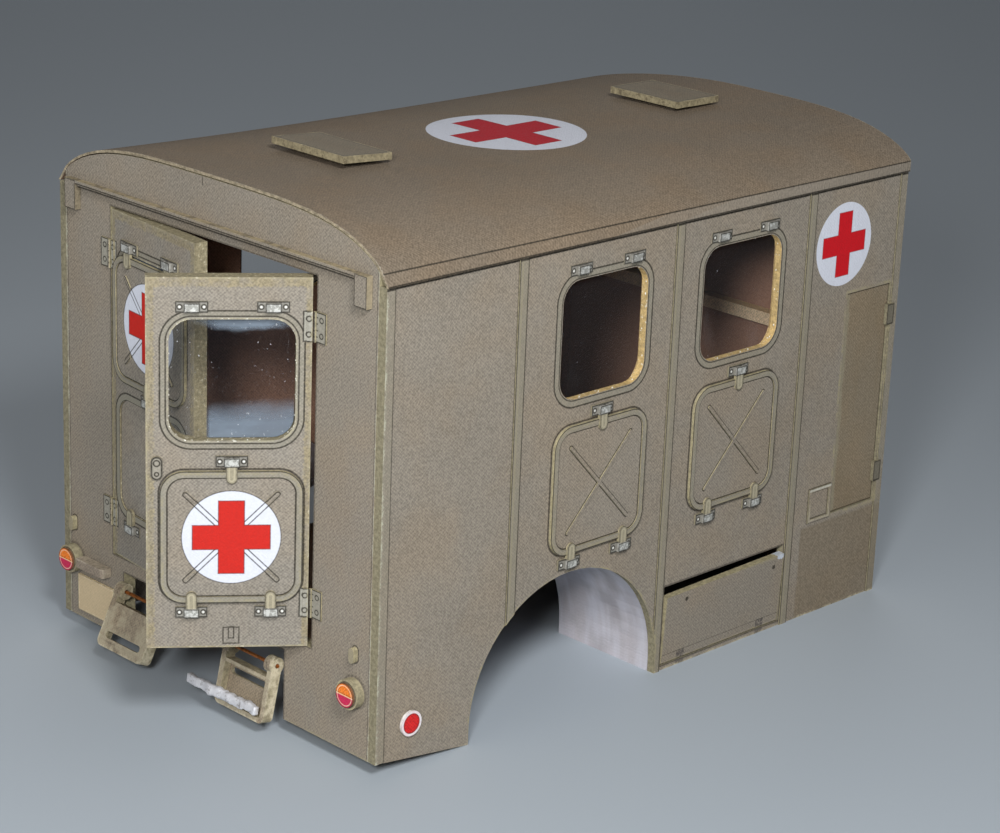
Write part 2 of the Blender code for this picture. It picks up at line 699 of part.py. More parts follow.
def build_floor(card, body):
    """Floor between the end walls, notched around the wheel arch liners."""
    half = HALF_WIDTH - SKIN_CARD - GLUE_GAP
    rear = END_WALL_CARD + GLUE_GAP
    front = BODY_LENGTH - END_WALL_CARD - GLUE_GAP
    low, high = FLOOR_TOP_Z - FLOOR_CARD, FLOOR_TOP_Z

    def draw(bm):
        box(bm, (rear, front), (-half, half), (low, high))

    def notches(bm):
        rise = low - ARCH_CENTRE_Z
        reach = math.sqrt((ARCH_RADIUS + SKIN_CARD) ** 2 - rise ** 2) + FLOOR_SIDE_CLEAR
        for _, side in SIDES:
            edge = side * (half + CUT_OVERRUN)
            inner = side * (half - ARCH_DEPTH - FLOOR_SIDE_CLEAR)
            box(bm, (ARCH_CENTRE_X - reach, ARCH_CENTRE_X + reach), sorted((edge, inner)),
                (low - CUT_OVERRUN, high + CUT_OVERRUN))

    combine(make_part("floor_panel", draw, card, body), notches, "DIFFERENCE")


def build_brace(card, body):
    """Cross piece glued inside the front wall above half height."""
    half = HALF_WIDTH - SKIN_CARD - LINING_CARD - 3 * GLUE_GAP
    front = BODY_LENGTH - END_WALL_CARD - GLUE_GAP

    def draw(bm):
        box(bm, (front - BRACE_DEPTH, front), (-half, half), (BRACE_Z, BRACE_Z + BRACE_HEIGHT))

    make_part("front_brace", draw, card, body)


def build_vents(paint, body):
    """Flat roof flap on a smaller foot, its rear edge standing up a little."""
    for name, centre_x, centre_y, length, width, lift in ROOF_VENTS:
        low_x, high_x = around(centre_x, length)
        crown = ROOF_FOLD_Z + ROOF_RISE - roof_drop(centre_x) + GLUE_GAP
        seat = crown + VENT_GAP

        def draw(bm):
            outline = [(low_x, seat + lift), (high_x, seat),
                       (high_x, seat + VENT_CARD), (low_x, seat + lift + VENT_CARD)]
            prism(bm, outline, "y", *around(centre_y, width))

        def foot(bm):
            foot_x = (low_x + VENT_FOOT_INSET, high_x - VENT_FOOT_INSET)
            box(bm, foot_x, around(centre_y, width - 2 * VENT_FOOT_INSET), (crown, seat + VENT_CARD / 2))

        combine(make_part("roof_vent_" + name, draw, paint, body), foot, "UNION")


def build_rain_rail(paint, body):
    """Stepped rail over the doorway, with a block hanging at each end."""
    seat = -GLUE_GAP
    upper_low = RAIL_TOP_Z - RAIL_UPPER_HEIGHT

    def draw(bm):
        lower_low = upper_low - RAIL_LOWER_HEIGHT
        outline = [(seat, lower_low), (seat - RAIL_LOWER_DEPTH, lower_low),
                   (seat - RAIL_LOWER_DEPTH, upper_low), (seat - RAIL_UPPER_DEPTH, upper_low),
                   (seat - RAIL_UPPER_DEPTH, RAIL_TOP_Z), (seat, RAIL_TOP_Z)]
        prism(bm, outline, "y", -RAIL_HALF_LENGTH, RAIL_HALF_LENGTH)

    def blocks(bm):
        for _, side in SIDES:
            span = sorted((side * RAIL_HALF_LENGTH, side * (RAIL_HALF_LENGTH - RAIL_END_WIDTH)))
            box(bm, (seat - RAIL_UPPER_DEPTH, seat), span, (RAIL_TOP_Z - RAIL_END_DROP, RAIL_TOP_Z))

    combine(make_part("rain_rail", draw, paint, body), blocks, "UNION")


def build_rear_lamps(housing_paint, lens_paint, body):
    for label, side, inset in TAIL_LAMPS:
        centre = (side * (HALF_WIDTH - inset), TAIL_LAMP_Z)
        face = -GLUE_GAP - TAIL_LAMP_DEPTH

        def housing(bm):
            prism(bm, circle(centre, TAIL_LAMP_RADIUS), "x", -GLUE_GAP, face)

        def lens(bm):
            seat = face - GLUE_GAP
            prism(bm, circle(centre, LENS_RADIUS), "x", seat, seat - LENS_RISE)

        round_off(make_part("tail_lamp_housing_" + label, housing, housing_paint, body))
        round_off(make_part("tail_lamp_lens_" + label, lens, lens_paint, body))


def build_reflectors(paint, body):
    for label, side in SIDES:
        def draw(bm):
            seat = side * (HALF_WIDTH + GLUE_GAP)
            prism(bm, circle((REFLECTOR_X, REFLECTOR_Z), REFLECTOR_RADIUS), "y",
                  seat, seat + side * REFLECTOR_RISE)

        round_off(make_part("side_reflector_" + label, draw, paint, body))


def build_plate(plate_paint, paint, body):
    """Blank number plate with a round-ended lamp bar over it."""
    def plate(bm):
        box(bm, (-GLUE_GAP - THIN_CARD, -GLUE_GAP), around(HALF_WIDTH - PLATE_SIDE_INSET, PLATE_WIDTH),
            around(PLATE_CENTRE_Z, PLATE_HEIGHT))

    def bar(bm):
        radius = PLATE_LAMP_DEPTH / 2
        seat = -GLUE_GAP
        ends = arc((seat - radius, PLATE_LAMP_LOW_Y + radius), radius, math.pi, 3 * math.pi / 2, CORNER_STEPS)
        outline = [(seat, PLATE_LAMP_HIGH_Y), (seat - PLATE_LAMP_DEPTH, PLATE_LAMP_HIGH_Y)]
        outline += ends + [(seat, PLATE_LAMP_LOW_Y)]
        prism(bm, outline, "z", *around(PLATE_LAMP_Z, PLATE_LAMP_HEIGHT))

    make_part("number_plate", plate, plate_paint, body)
    make_part("plate_lamp_bar", bar, paint, body)


def build_leaf(label, side, rest, paint, film, body):
    """Rear door leaf, drawn around its hinge axis with the door shut. The left
    leaf carries its shutter over the window, which leaves an empty frame."""
    jamb = DOORWAY_CENTRE_Y + side * DOORWAY_WIDTH / 2
    hinge = pivot("hinge_" + label, (-HINGE_STANDOFF, jamb, 0), (0, 0, -side * rest), body)
    near, far = -side * LEAF_CLEARANCE, -side * (LEAF_CLEARANCE + LEAF_WIDTH)
    outer, inner = HINGE_STANDOFF, HINGE_STANDOFF + LEAF_THICKNESS
    middle = outer + LEAF_THICKNESS / 2
    centre_y = -side * LEAF_FEATURE_INSET
    raised_shutter = side > 0
    shutter_z = LEAF_SHUTTER_HIGH_Z if raised_shutter else LEAF_SHUTTER_LOW_Z

    def draw(bm):
        box(bm, (outer, inner), sorted((near, far)),
            (DOORWAY_BOTTOM_Z + LEAF_CLEARANCE, DOORWAY_TOP_Z - LEAF_CLEARANCE))

    def openings(bm):
        outline = window_outline((centre_y, LEAF_WINDOW_CENTRE_Z), LEAF_WINDOW_WIDTH, LEAF_WINDOW_HEIGHT, 0)
        prism(bm, outline, "x", outer - CUT_OVERRUN, inner + CUT_OVERRUN)
        if raised_shutter:
            frame = rounded_rectangle((centre_y, LEAF_SHUTTER_LOW_Z), LEAF_SHUTTER_WIDTH - 2 * SHUTTER_RIM,
                                      LEAF_SHUTTER_HEIGHT - 2 * SHUTTER_RIM, SHUTTER_RADIUS - SHUTTER_RIM)
            prism(bm, frame, "x", outer - CUT_OVERRUN, outer + LEAF_RECESS)

    def fittings(bm):
        for centre_z in HINGE_CENTRES_Z:
            box(bm, (outer - HINGE_PLATE, middle), sorted((near, -side * HINGE_LEAF_REACH)),
                around(centre_z, HINGE_HEIGHT))
        if raised_shutter:
            for place, towards in clamp_places(centre_y, LEAF_SHUTTER_LOW_Z, LEAF_SHUTTER_HEIGHT, 1)[1:]:
                add_clamp(bm, "x", place, outer + THIN_CARD / 2, -1, towards)
        else:
            add_clips(bm, "x", (centre_y, LEAF_WINDOW_CENTRE_Z), outer, -1)
            lock_y = far + side * (LOCK_EDGE_GAP + LOCK_WIDTH / 2)
            low_z, high_z = around(LOCK_Z, LOCK_HEIGHT - LOCK_WIDTH)
            outline = capsule((lock_y, low_z), (lock_y, high_z), LOCK_WIDTH / 2)
            prism(bm, outline, "x", outer - LOCK_RISE, middle)

    def pane(bm):
        outline = window_outline((centre_y, LEAF_WINDOW_CENTRE_Z), LEAF_WINDOW_WIDTH,
                                 LEAF_WINDOW_HEIGHT, GLUE_GAP)
        prism(bm, outline, "x", middle, middle + FILM)

    leaf = make_part("door_leaf_" + label, draw, paint, hinge)
    combine(leaf, openings, "DIFFERENCE")
    combine(leaf, fittings, "UNION")
    make_part("door_pane_" + label, pane, film, hinge)
    clamps = clamp_places(centre_y, shutter_z, LEAF_SHUTTER_HEIGHT, -1 if raised_shutter else 1)
    build_shutter("door_shutter_" + label, (centre_y, shutter_z), (LEAF_SHUTTER_WIDTH, LEAF_SHUTTER_HEIGHT),
                  "x", outer - GLUE_GAP, -1, DOOR_RIB_START_SHARE, clamps, paint, hinge)


def build_flap(label, side, paint, body):
    """Locker flap on its bottom hinge, drawn around the axis, then left ajar."""
    axis_z = LOCKER_SILL_Z + FLAP_CLEARANCE
    hinge = pivot("flap_hinge_" + label, (0, side * HALF_WIDTH, axis_z), (-side * FLAP_REST_ANGLE, 0, 0), body)

    def draw(bm):
        rear, front = LOCKER_START_X + FLAP_CLEARANCE, LOCKER_END_X - FLAP_CLEARANCE
        outline = [(rear, 0), (front, 0), (front, FLAP_FRONT_HEIGHT), (rear, FLAP_REAR_HEIGHT)]
        prism(bm, outline, "y", 0, -side * SKIN_CARD)

    make_part("locker_flap_" + label, draw, paint, hinge)


def build_wire(copper, body):
    def draw(bm):
        (_, _, right_reach, _, _), (_, _, left_reach, _, _) = STEP_PLACES
        prism(bm, circle((WIRE_X, WIRE_Z), WIRE_RADIUS, WIRE_SIDES), "y",
              -right_reach - WIRE_END, left_reach + WIRE_END)

    round_off(make_part("step_wire", draw, copper, body))


def build_step(label, side, reach, width, rest, paint, tread_paint, body):
    """Stirrup hung on the wire: a bent card frame, a shelf under the wire and a
    slotted plate, which faces out on the left step and in on the right one."""
    hinge = pivot("step_hinge_" + label, (WIRE_X, 0, WIRE_Z), (0, rest, 0), body)
    low_y, high_y = sorted((side * reach, side * (reach - width)))
    half = STEP_DEPTH / 2
    foot_z = -STEP_LENGTH
    shelf_z = -STEP_SHELF_DROP
    plate_x = (-half, STEP_PLATE - half) if side > 0 else (half - STEP_PLATE, half)

    def frame(bm):
        top = -STEP_EAR_RADIUS / 2
        inside = STEP_CORNER - STEP_FOOT
        outline = [(low_y, top)]
        outline += arc((low_y + STEP_CORNER, foot_z + STEP_CORNER), STEP_CORNER,
                       math.pi, 3 * math.pi / 2, CORNER_STEPS)
        outline += arc((high_y - STEP_CORNER, foot_z + STEP_CORNER), STEP_CORNER,
                       3 * math.pi / 2, 2 * math.pi, CORNER_STEPS)
        outline += [(high_y, top), (high_y - STEP_CHEEK, top)]
        outline += arc((high_y - STEP_CHEEK - inside, foot_z + STEP_CORNER), inside,
                       0, -math.pi / 2, CORNER_STEPS)
        outline += arc((low_y + STEP_CHEEK + inside, foot_z + STEP_CORNER), inside,
                       -math.pi / 2, -math.pi, CORNER_STEPS)
        outline += [(low_y + STEP_CHEEK, top)]
        prism(bm, outline, "x", -half, half)

    def ears(bm):
        for near, inward in ((low_y, 1), (high_y, -1)):
            prism(bm, circle((0, 0), STEP_EAR_RADIUS), "y", near, near + inward * (STEP_CHEEK + STEP_BOSS))

    def inner_plates(bm):
        span = (low_y + STEP_CHEEK / 2, high_y - STEP_CHEEK / 2)
        box(bm, (-half, half), span, (shelf_z - STEP_PLATE, shelf_z))
        box(bm, plate_x, span, (foot_z + STEP_FOOT / 2, shelf_z - STEP_PLATE / 2))

    def holes(bm):
        prism(bm, circle((0, 0), STEP_HOLE_RADIUS, WIRE_SIDES), "y", low_y - CUT_OVERRUN, high_y + CUT_OVERRUN)
        radius = STEP_SLOT_HEIGHT / 2
        slot_z = foot_z + STEP_FOOT + STEP_SLOT_FROM_EDGE + radius
        if side < 0:
            slot_z = shelf_z - STEP_PLATE - STEP_SLOT_FROM_EDGE - radius
        margin = STEP_CHEEK + STEP_SLOT_MARGIN + radius
        outline = capsule((low_y + margin, slot_z), (high_y - margin, slot_z), radius)
        overrun = STEP_PLATE / 2
        prism(bm, outline, "x", plate_x[0] - overrun, plate_x[1] + overrun)

    step = make_part("step_" + label, frame, paint, hinge)
    combine(step, ears, "UNION")
    combine(step, inner_plates, "UNION")
    combine(step, holes, "DIFFERENCE")
    if tread_paint:
        def tread(bm):
            face = -half - GLUE_GAP
            low_z = foot_z + TREAD_RISE
            box(bm, (face - TREAD_THICKNESS, face), (low_y + STEP_CHEEK, high_y + TREAD_OVERHANG),
                (low_z, low_z + TREAD_HEIGHT))

        make_part("step_tread", tread, tread_paint, hinge)


def rear_reach():
    """How far the rearmost leaf stands behind the rear wall at rest."""
    across = LEAF_CLEARANCE + LEAF_WIDTH
    return HINGE_STANDOFF + across * math.sin(RIGHT_LEAF_REST) - HINGE_STANDOFF * math.cos(RIGHT_LEAF_REST)


def build():
    for item in list(bpy.data.objects):
        bpy.data.objects.remove(item, do_unlink=True)

    paint = make_material("olive_printed_card", (0.165, 0.150, 0.115), 0.75)
    roof_paint = make_material("olive_roof_card", (0.150, 0.130, 0.090), 0.75)
    raw_card = make_material("raw_cream_card", (0.62, 0.44, 0.33), 0.85)
    grey_card = make_material("pale_grey_card", (0.55, 0.56, 0.58), 0.6)
    film = make_material("clear_film", (0.80, 0.84, 0.86), 0.08, alpha=0.3)
    copper = make_material("copper_wire", (0.75, 0.36, 0.16), 0.3, 1.0)
    silver = make_material("silver_tread", (0.75, 0.76, 0.78), 0.4, 0.8)
    lens = make_material("lamp_lens_print", (0.75, 0.16, 0.12), 0.35)
    lamp_side = make_material("tan_lamp_side", (0.36, 0.27, 0.18), 0.7)
    plate = make_material("blank_plate_card", (0.80, 0.70, 0.50), 0.7)

    body = pivot("body_frame", ((rear_reach() - BODY_LENGTH) / 2, 0, 0), (0, 0, 0), None)

    build_roof(roof_paint, body)
    for label, side in SIDES:
        build_side_wall(label, side, paint, body)
        build_side_lining(label, side, raw_card, body)
        build_side_windows(label, side, film, paint, body)
        build_hatch(label, side, paint, body)
        build_arch_liner(label, side, grey_card, body)
        build_flap(label, side, paint, body)
    build_rear_wall(paint, body)
    build_end_wall("front_wall", (BODY_LENGTH - END_WALL_CARD, BODY_LENGTH), 0, paint, body)
    build_floor(raw_card, body)
    build_brace(raw_card, body)
    build_vents(paint, body)
    build_rain_rail(paint, body)
    build_rear_lamps(lamp_side, lens, body)
    build_reflectors(lens, body)
    build_plate(plate, paint, body)
    build_leaf("right", -1, RIGHT_LEAF_REST, paint, film, body)
    build_leaf("left", 1, LEFT_LEAF_REST, paint, film, body)
    build_wire(copper, body)
    for label, side, reach, width, rest in STEP_PLACES:
        build_step(label, side, reach, width, rest, paint, silver if side < 0 else None, body)


build()
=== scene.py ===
"""Dresses the printed-card ambulance body: card, print, metal paint and film."""
import math

import bmesh
import bpy
from mathutils import Matrix, Vector, noise


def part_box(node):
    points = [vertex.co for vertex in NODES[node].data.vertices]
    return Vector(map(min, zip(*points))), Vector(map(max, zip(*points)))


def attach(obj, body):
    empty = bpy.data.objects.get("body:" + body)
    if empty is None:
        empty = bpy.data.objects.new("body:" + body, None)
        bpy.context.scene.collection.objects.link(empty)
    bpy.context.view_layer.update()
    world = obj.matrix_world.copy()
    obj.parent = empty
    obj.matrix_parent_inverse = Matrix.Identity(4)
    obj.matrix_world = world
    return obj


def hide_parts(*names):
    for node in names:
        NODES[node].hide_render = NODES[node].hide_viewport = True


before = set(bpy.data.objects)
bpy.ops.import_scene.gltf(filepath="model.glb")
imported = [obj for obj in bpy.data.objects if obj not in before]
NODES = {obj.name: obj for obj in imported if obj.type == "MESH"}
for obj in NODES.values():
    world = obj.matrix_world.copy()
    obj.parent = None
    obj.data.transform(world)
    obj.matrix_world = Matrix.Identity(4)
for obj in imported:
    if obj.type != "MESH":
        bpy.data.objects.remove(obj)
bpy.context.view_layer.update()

# Places in the body, in millimetres: X from the rear wall's outer face, Y to the
# left of the middle, Z from the table, as the solids have them. A centre or a
# size is a pair, along the panel and up it
MM = 0.001
SIDES = (("right", -1), ("left", 1))
BODY_LENGTH = 105.3
HALF_WIDTH = 34.2
REAR_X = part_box("front_wall")[1].x - BODY_LENGTH * MM
BODY_ORIGIN = (REAR_X, 0, 0)

# Side walls, their windows and shutters
SIDE_MARGINS = (1.5, 103.8)
# Height of a dark line under the roof flange, a painted shadow
FLANGE_SHADOW_Z = 67.4
SEAM_STARTS = (23.4, 53.9, 82.6)
SEAM_WIDTH = 1.6
SEAM_GROOVE = 0.45
FOOT_PANEL_CENTRE, FOOT_PANEL_SIZE = (96.5, 7.2), (20.4, 14.9)
WINDOW_X = (40.3, 68.6)
WINDOW_Z = 54.4
WINDOW_SIZE = (16.6, 16.8)
WINDOW_ROUND = 3.0
SHUTTER_Z = 33.0
SHUTTER_SIZE = (18.4, 18.8)
SHUTTER_ROUND = 3.2
SHUTTER_SEAT = 0.1
RIB_END = (5.9, 6.2)
SIDE_DISC, SIDE_DISC_RADIUS, SIDE_CROSS = (91.3, 58.6), 6.35, (3.1, 9.8)
ARCH_CENTRE, ARCH_RADIUS = (35.8, 2.1), 18.6
REFLECTOR_CENTRE, REFLECTOR_RADIUS = (6.1, 6.7), 1.8

# Clamps of the shutters, and clips over the windows
CLAMP_SPREAD = 5.2
CLAMP_STANDOFF = 1.3
CLAMP_BASE = (4.2, 1.5)
CLAMP_BLOCK = (2.0, 1.2)
CLAMP_SCREW_ASIDE = 1.56
CLAMP_SUNK = -0.15
TONGUE_CENTRE, TONGUE_SIZE, TONGUE_ROUND = (0, 1.5), (1.5, 3.0), 0.74
CLIP_HEIGHT = 9.9

# Front hatches, filler lids and locker flaps
HATCH_CENTRE, HATCH_SIZE, HATCH_LID_SIZE = (98.4, 33.1), (10.4, 35.0), (10.2, 34.8)
HATCH_REAR_X = 93.2
HATCH_SUNK = 0.3
HATCH_HINGE_X, HATCH_HINGE_Z, HATCH_HINGE_SIZE = 103.6, (20.4, 45.7), (1.6, 3.2)
FILLER_CENTRE, FILLER_SIZE = (90.2, 18.0), (5.2, 5.4)
# Height of a pale band along the filler lid's top edge, a painted highlight
FILLER_HIGHLIGHT_Z = 20.5
LOCKER_CENTRE, LOCKER_SIZE = (69.05, 6.95), (26.9, 12.3)
FLAP_CENTRE, FLAP_SIZE = (69.05, 5.4), (26.1, 10.8)
FLAP_AXIS_Z = 1.0
FLAP_LEAN = math.radians(3.0)
FLAP_FOLD_Z = 1.25
FLAP_HINGE_X, FLAP_HINGE_SIZE = (60.1, 77.9), (1.7, 2.2)
FLAP_LATCH_X, FLAP_LATCH_Z = (60.4, 79.9), 9.3
FLAP_NICK_CENTRE, FLAP_NICK_SIZE = (72.2, -0.4), (0.7, 0.5)
# Place and size of a silvery painted glint on the flap's top front corner
FLAP_GLINT_CORNER, FLAP_GLINT_RADIUS = (81.3, 10.9), 0.8

# Roof
FOLD_Z = 69.3
# Drop from the fold to a dark line at the flange's foot, a painted shadow
FLANGE_SHADOW_DROP = 1.5
ROOF_DISC, ROOF_DISC_RADIUS, ROOF_CROSS = (53.8, -0.3), 11.7, (5.4, 17.4)
VENTS = (("rear", (21.4, 1.0), (8.8, 15.0)), ("front", (88.0, 0.0), (9.4, 13.8)))
VENT_OVERHANG = 1.5

# Rear wall, with its doorway, step bay, rail, lamps and plate
JAMBS = (-21.2, 22.6)
DOORWAY_Z, DOORWAY_HEIGHT = 40.55, 51.7
REAR_LINE_Y = 32.7
REAR_CORNER_Y = 33.0
REAR_FOOT_Z = 2.3
BAY_CENTRE, BAY_SIZE = (2.25, 6.9), (35.7, 11.2)
MITRE_CENTRE, MITRE_SIZE = (2.3, 74.2), (0.14, 1.5)
FRONT_LINE_Y = 31.5
HINGE_Z = (21.3, 59.6)
HINGE_HEIGHT = 4.1
HINGE_SCREW_RISE = 1.05
SCREW_RADIUS = 0.34
RAIL_LINES_Z, RAIL_LINES_END_Y, RAIL_TOP_Z = (68.3, 67.84), 29.3, 68.8
RAIL_BLOCK_CENTRE, RAIL_BLOCK_SIZE, RAIL_END_Y = (30.6, 66.65), (2.4, 4.3), 31.6
LAMP_Y = {"right": -30.0, "left": 31.8}
LAMP_Z = 11.4
LAMP_RADIUS, LENS_RADIUS = 1.75, 1.7
TAB_Z, TAB_SIZE, TAB_ROUND = 16.8, (1.0, 2.2), 0.49
PLATE_CENTRE, PLATE_SIZE = (26.4, 6.4), (8.6, 5.6)
LAMP_BAR_TOP_Z = 12.3

# Door leaves, across from the hinge and up
LEAF_AXIS_X = -0.3
LEAF_MIDDLE = 10.5
LEAF_SHEET_CENTRE, LEAF_SHEET_SIZE, LEAF_SHEET_ROUND = (10.85, 40.0), (19.3, 49.6), 0.2
LEAF_RIM_CENTRE, LEAF_RIM_SIZE = (10.95, 40.55), (21.3, 51.1)
LEAF_WINDOW_Z = 52.3
LEAF_WINDOW_SIZE = (16.3, 16.4)
LEAF_SHUTTER_LOW_Z, LEAF_SHUTTER_HIGH_Z = 30.8, 51.1
LEAF_SHUTTER_SIZE = (18.7, 18.5)
LEAF_DISC_RADIUS, LEAF_CROSS = 6.5, (3.4, 10.2)
LEAF_RIB_END = (6.0, 6.0)
LEAF_HINGE_MIDDLE, LEAF_HINGE_WIDTH = 0.75, 1.5
LOCK_CENTRE, LOCK_SIZE, LOCK_ROUND = (20.2, 40.4), (1.6, 3.3), 0.79
LOCK_STUDS = (((20.2, 41.1), 0.4), ((20.2, 39.6), 0.26))
LATCH_MARKS = (((10.45, 16.7), (2.1, 2.3)), ((10.45, 17.1), (0.7, 1.6)))
# side, its sign, hinge jamb, angle at rest, middle of its shutter
LEAVES = (
    ("right", -1, JAMBS[0], math.radians(52.6), LEAF_SHUTTER_LOW_Z),
    ("left", 1, JAMBS[1], math.radians(6.0), LEAF_SHUTTER_HIGH_Z),
)

# Steps, around the wire that they hang on
WIRE_PLACE = (-0.9, 10.3)
RIGHT_STEP_REST, LEFT_STEP_REST = math.radians(12.0), math.radians(26.0)
STEPS = (("right", RIGHT_STEP_REST, -10.05), ("left", LEFT_STEP_REST, 14.55))
STEP_Z, STEP_SIZE, STEP_ROUND = -3.6, (10.5, 9.6), 1.0
STEP_HALF_THICKNESS = 0.85
TREAD_LOW, TREAD_HIGH = Vector((-1.95, -14.4, -7.3)), Vector((-0.95, 0.5, -6.0))
TREAD_ROUND = 0.22
TREAD_SLICES = 44
TREAD_LUMP, TREAD_LUMP_REACH = Vector((-1.9, -4.9, -7.0)), 1.3

# Beads of glue
SIDE_BEADS, LEAF_BEADS = 17, 26
BEAD_DRIFT = 0.8

# Print and grain
WEAVE_PITCH = (0.54, 0.49)
FLECK_SCALE = 2.8
CLOUD_SCALE = 0.07
FINE_RELIEF, ROOF_RELIEF = 0.00002, 0.00004

# The photographed view
CAMERA_PLACE = (REAR_X - 0.2198, -0.2743, 0.1619)
CAMERA_BACK = (-0.6704, -0.6688, 0.3214)
CAMERA_ROLL = math.radians(2.29)
CAMERA_LENS, SENSOR_WIDTH = 98.1, 36.0
CAMERA_CLIP_START = 0.01

# Lamps: name, place and size in metres, power in watts
LAMPS = (
    ("key_lamp", (-0.165, -0.245, 0.255), 0.07, 0.72),
    ("rear_lamp", (-0.50, -0.10, 0.20), 0.25, 0.25),
    ("soft_lamp", (-0.35, -0.45, 0.46), 0.25, 0.5),
    ("low_lamp", (-0.30, -0.245, 0.195), 0.06, 0.95),
    ("far_lamp", (0.50, 0.55, 0.60), 0.60, 0.9),
)
LAMP_AIM = Vector((-0.01, 0, 0.035))
WORLD_COLOUR, WORLD_STRENGTH = (0.86, 0.89, 0.93, 1.0), 0.06
TABLE_SIZE = 1.6


def shade(red, green, blue):
    """A colour read off a screen, as the shaders want it."""
    def straight(level):
        level /= 255
        return level / 12.92 if level <= 0.04045 else ((level + 0.055) / 1.055) ** 2.4
    return (straight(red), straight(green), straight(blue), 1.0)


# Printed card and its marks
OLIVE = shade(137, 129, 117)
LEAF_OLIVE = shade(136, 130, 120)
HATCH_OLIVE = shade(128, 117, 99)
ROOF_OLIVE = shade(122, 110, 95)
STEP_OLIVE = shade(140, 128, 110)
LAMP_OLIVE = shade(144, 135, 112)
LAMP_BAR_OLIVE = shade(140, 128, 114)
TONGUE_OLIVE = shade(150, 143, 122)
PANEL_BROWN = shade(118, 104, 82)
PRINT_DARK = shade(42, 38, 31)
PRINT_GREEN = shade(140, 138, 122)
STRIP_GREEN = shade(136, 131, 114)
HATCH_STRIP = shade(146, 139, 118)
LEAF_BORDER = shade(142, 131, 102)
FLANGE_GREY = shade(140, 132, 120)
WALL_HINGE_DARK = shade(86, 80, 76)
FLAP_HINGE_DARK = shade(78, 72, 70)
FILLER_TOP_HIGHLIGHT = shade(186, 182, 168)
VENT_STAIN = shade(96, 86, 68)
# Dark foot under a vent's overhang: painted shade
VENT_FOOT_SHADE = shade(60, 52, 42)
DISC_WHITE = shade(208, 211, 221)
CROSS_RED = shade(196, 22, 32)
LEAF_RED = shade(190, 38, 30)
ROOF_RED = shade(176, 34, 46)
OUTLINE_RED = shade(96, 34, 36)
LEAF_OUTLINE_RED = shade(100, 40, 36)
PLATE_CREAM = shade(200, 180, 146)

# Cut edges and worn places of the card
EDGE_GREEN = shade(134, 127, 104)
EDGE_OLIVE = shade(156, 147, 118)
FLAP_EDGE = shade(152, 143, 114)
LEAF_EDGE = shade(142, 133, 107)
ROOF_EDGE = shade(150, 138, 116)
VENT_EDGE = shade(142, 132, 106)
RAIL_EDGE = shade(122, 112, 93)
RAIL_BLOCK_EDGE = shade(190, 176, 146)
LAMP_EDGE = shade(148, 140, 114)
LAMP_BAR_EDGE = shade(162, 150, 132)
PLATE_EDGE = shade(220, 200, 160)
STEP_EDGE = shade(158, 148, 122)
# Pale rubbed card; on the clamp tongues it is a painted highlight line
PALE_WEAR_AND_HIGHLIGHT = shade(196, 186, 158)
CORNER_WORN = shade(182, 180, 160)
# Silvery painted glint on a flap corner
FLAP_CORNER_GLINT = shade(206, 212, 220)
LEAF_RIM_WORN = shade(166, 158, 130)
LEAF_WINDOW_WORN = shade(172, 166, 140)
LEAF_CRUMBS = shade(206, 200, 178)
ROOF_WORN = shade(186, 178, 160)
VENT_CREAM = shade(196, 186, 148)
RAIL_WORN = shade(176, 161, 128)
LAMP_WORN = shade(186, 178, 142)
LAMP_BAR_WORN = shade(188, 176, 156)
PLATE_WORN = shade(232, 216, 182)
STEP_WORN = shade(198, 188, 162)
STEP_CORNER_WORN = shade(190, 180, 154)

# Bare card
RAW_CARD = shade(202, 172, 116)
# Inside card, darkened below its lit pinkish colour as painted shade of the closed interior; the
# roof's back darker brown as more painted shade
INNER_CARD_SHADED = shade(156, 122, 104)
INNER_BROWN_SHADED = shade(112, 82, 66)
BRACE_CARD = shade(222, 200, 168)
FLOOR_CARD = shade(158, 130, 108)
LINER_LILAC = shade(178, 176, 184)
LINER_STREAK = shade(214, 216, 226)
LINER_SMUDGE = shade(138, 134, 136)

# Metal paint, lenses, film, glue and metal
STEEL_GREY = shade(138, 135, 127)
# Block tops painted lighter than their sides: a painted highlight
STEEL_HIGHLIGHT = shade(166, 165, 158)
STEEL_GLINT = shade(226, 226, 220)
FITTING_SIDE = shade(118, 112, 98)
JAMB_HINGE_GREY = shade(148, 144, 132)
LEAF_HINGE_GREY = shade(152, 149, 138)
LOCK_GREY = shade(146, 141, 129)
LENS_ORANGE = shade(232, 126, 44)
LENS_PINK = shade(196, 44, 82)
LENS_MIDDLE = shade(240, 214, 170)
# Pale ring on the lens: a painted highlight
LENS_HIGHLIGHT_RING = shade(240, 220, 190)
LENS_EDGE = shade(120, 84, 60)
REFLECTOR_RED = shade(198, 36, 38)
REFLECTOR_RING = shade(232, 230, 232)
REFLECTOR_EDGE = shade(206, 200, 196)
FILM_CLEAR = shade(216, 220, 226)
# Bluish painted reflection on the door film
FILM_REFLECTION_BLUE = shade(116, 128, 141)
FILM_SPECK = shade(226, 228, 230)
GLUE_WHITE = shade(228, 226, 214)
COPPER = shade(222, 138, 76)
COPPER_DULL = shade(122, 74, 42)
SILVER = shade(214, 214, 218)
SILVER_DIRT = shade(112, 106, 98)
TABLE_GREY = shade(168, 177, 185)


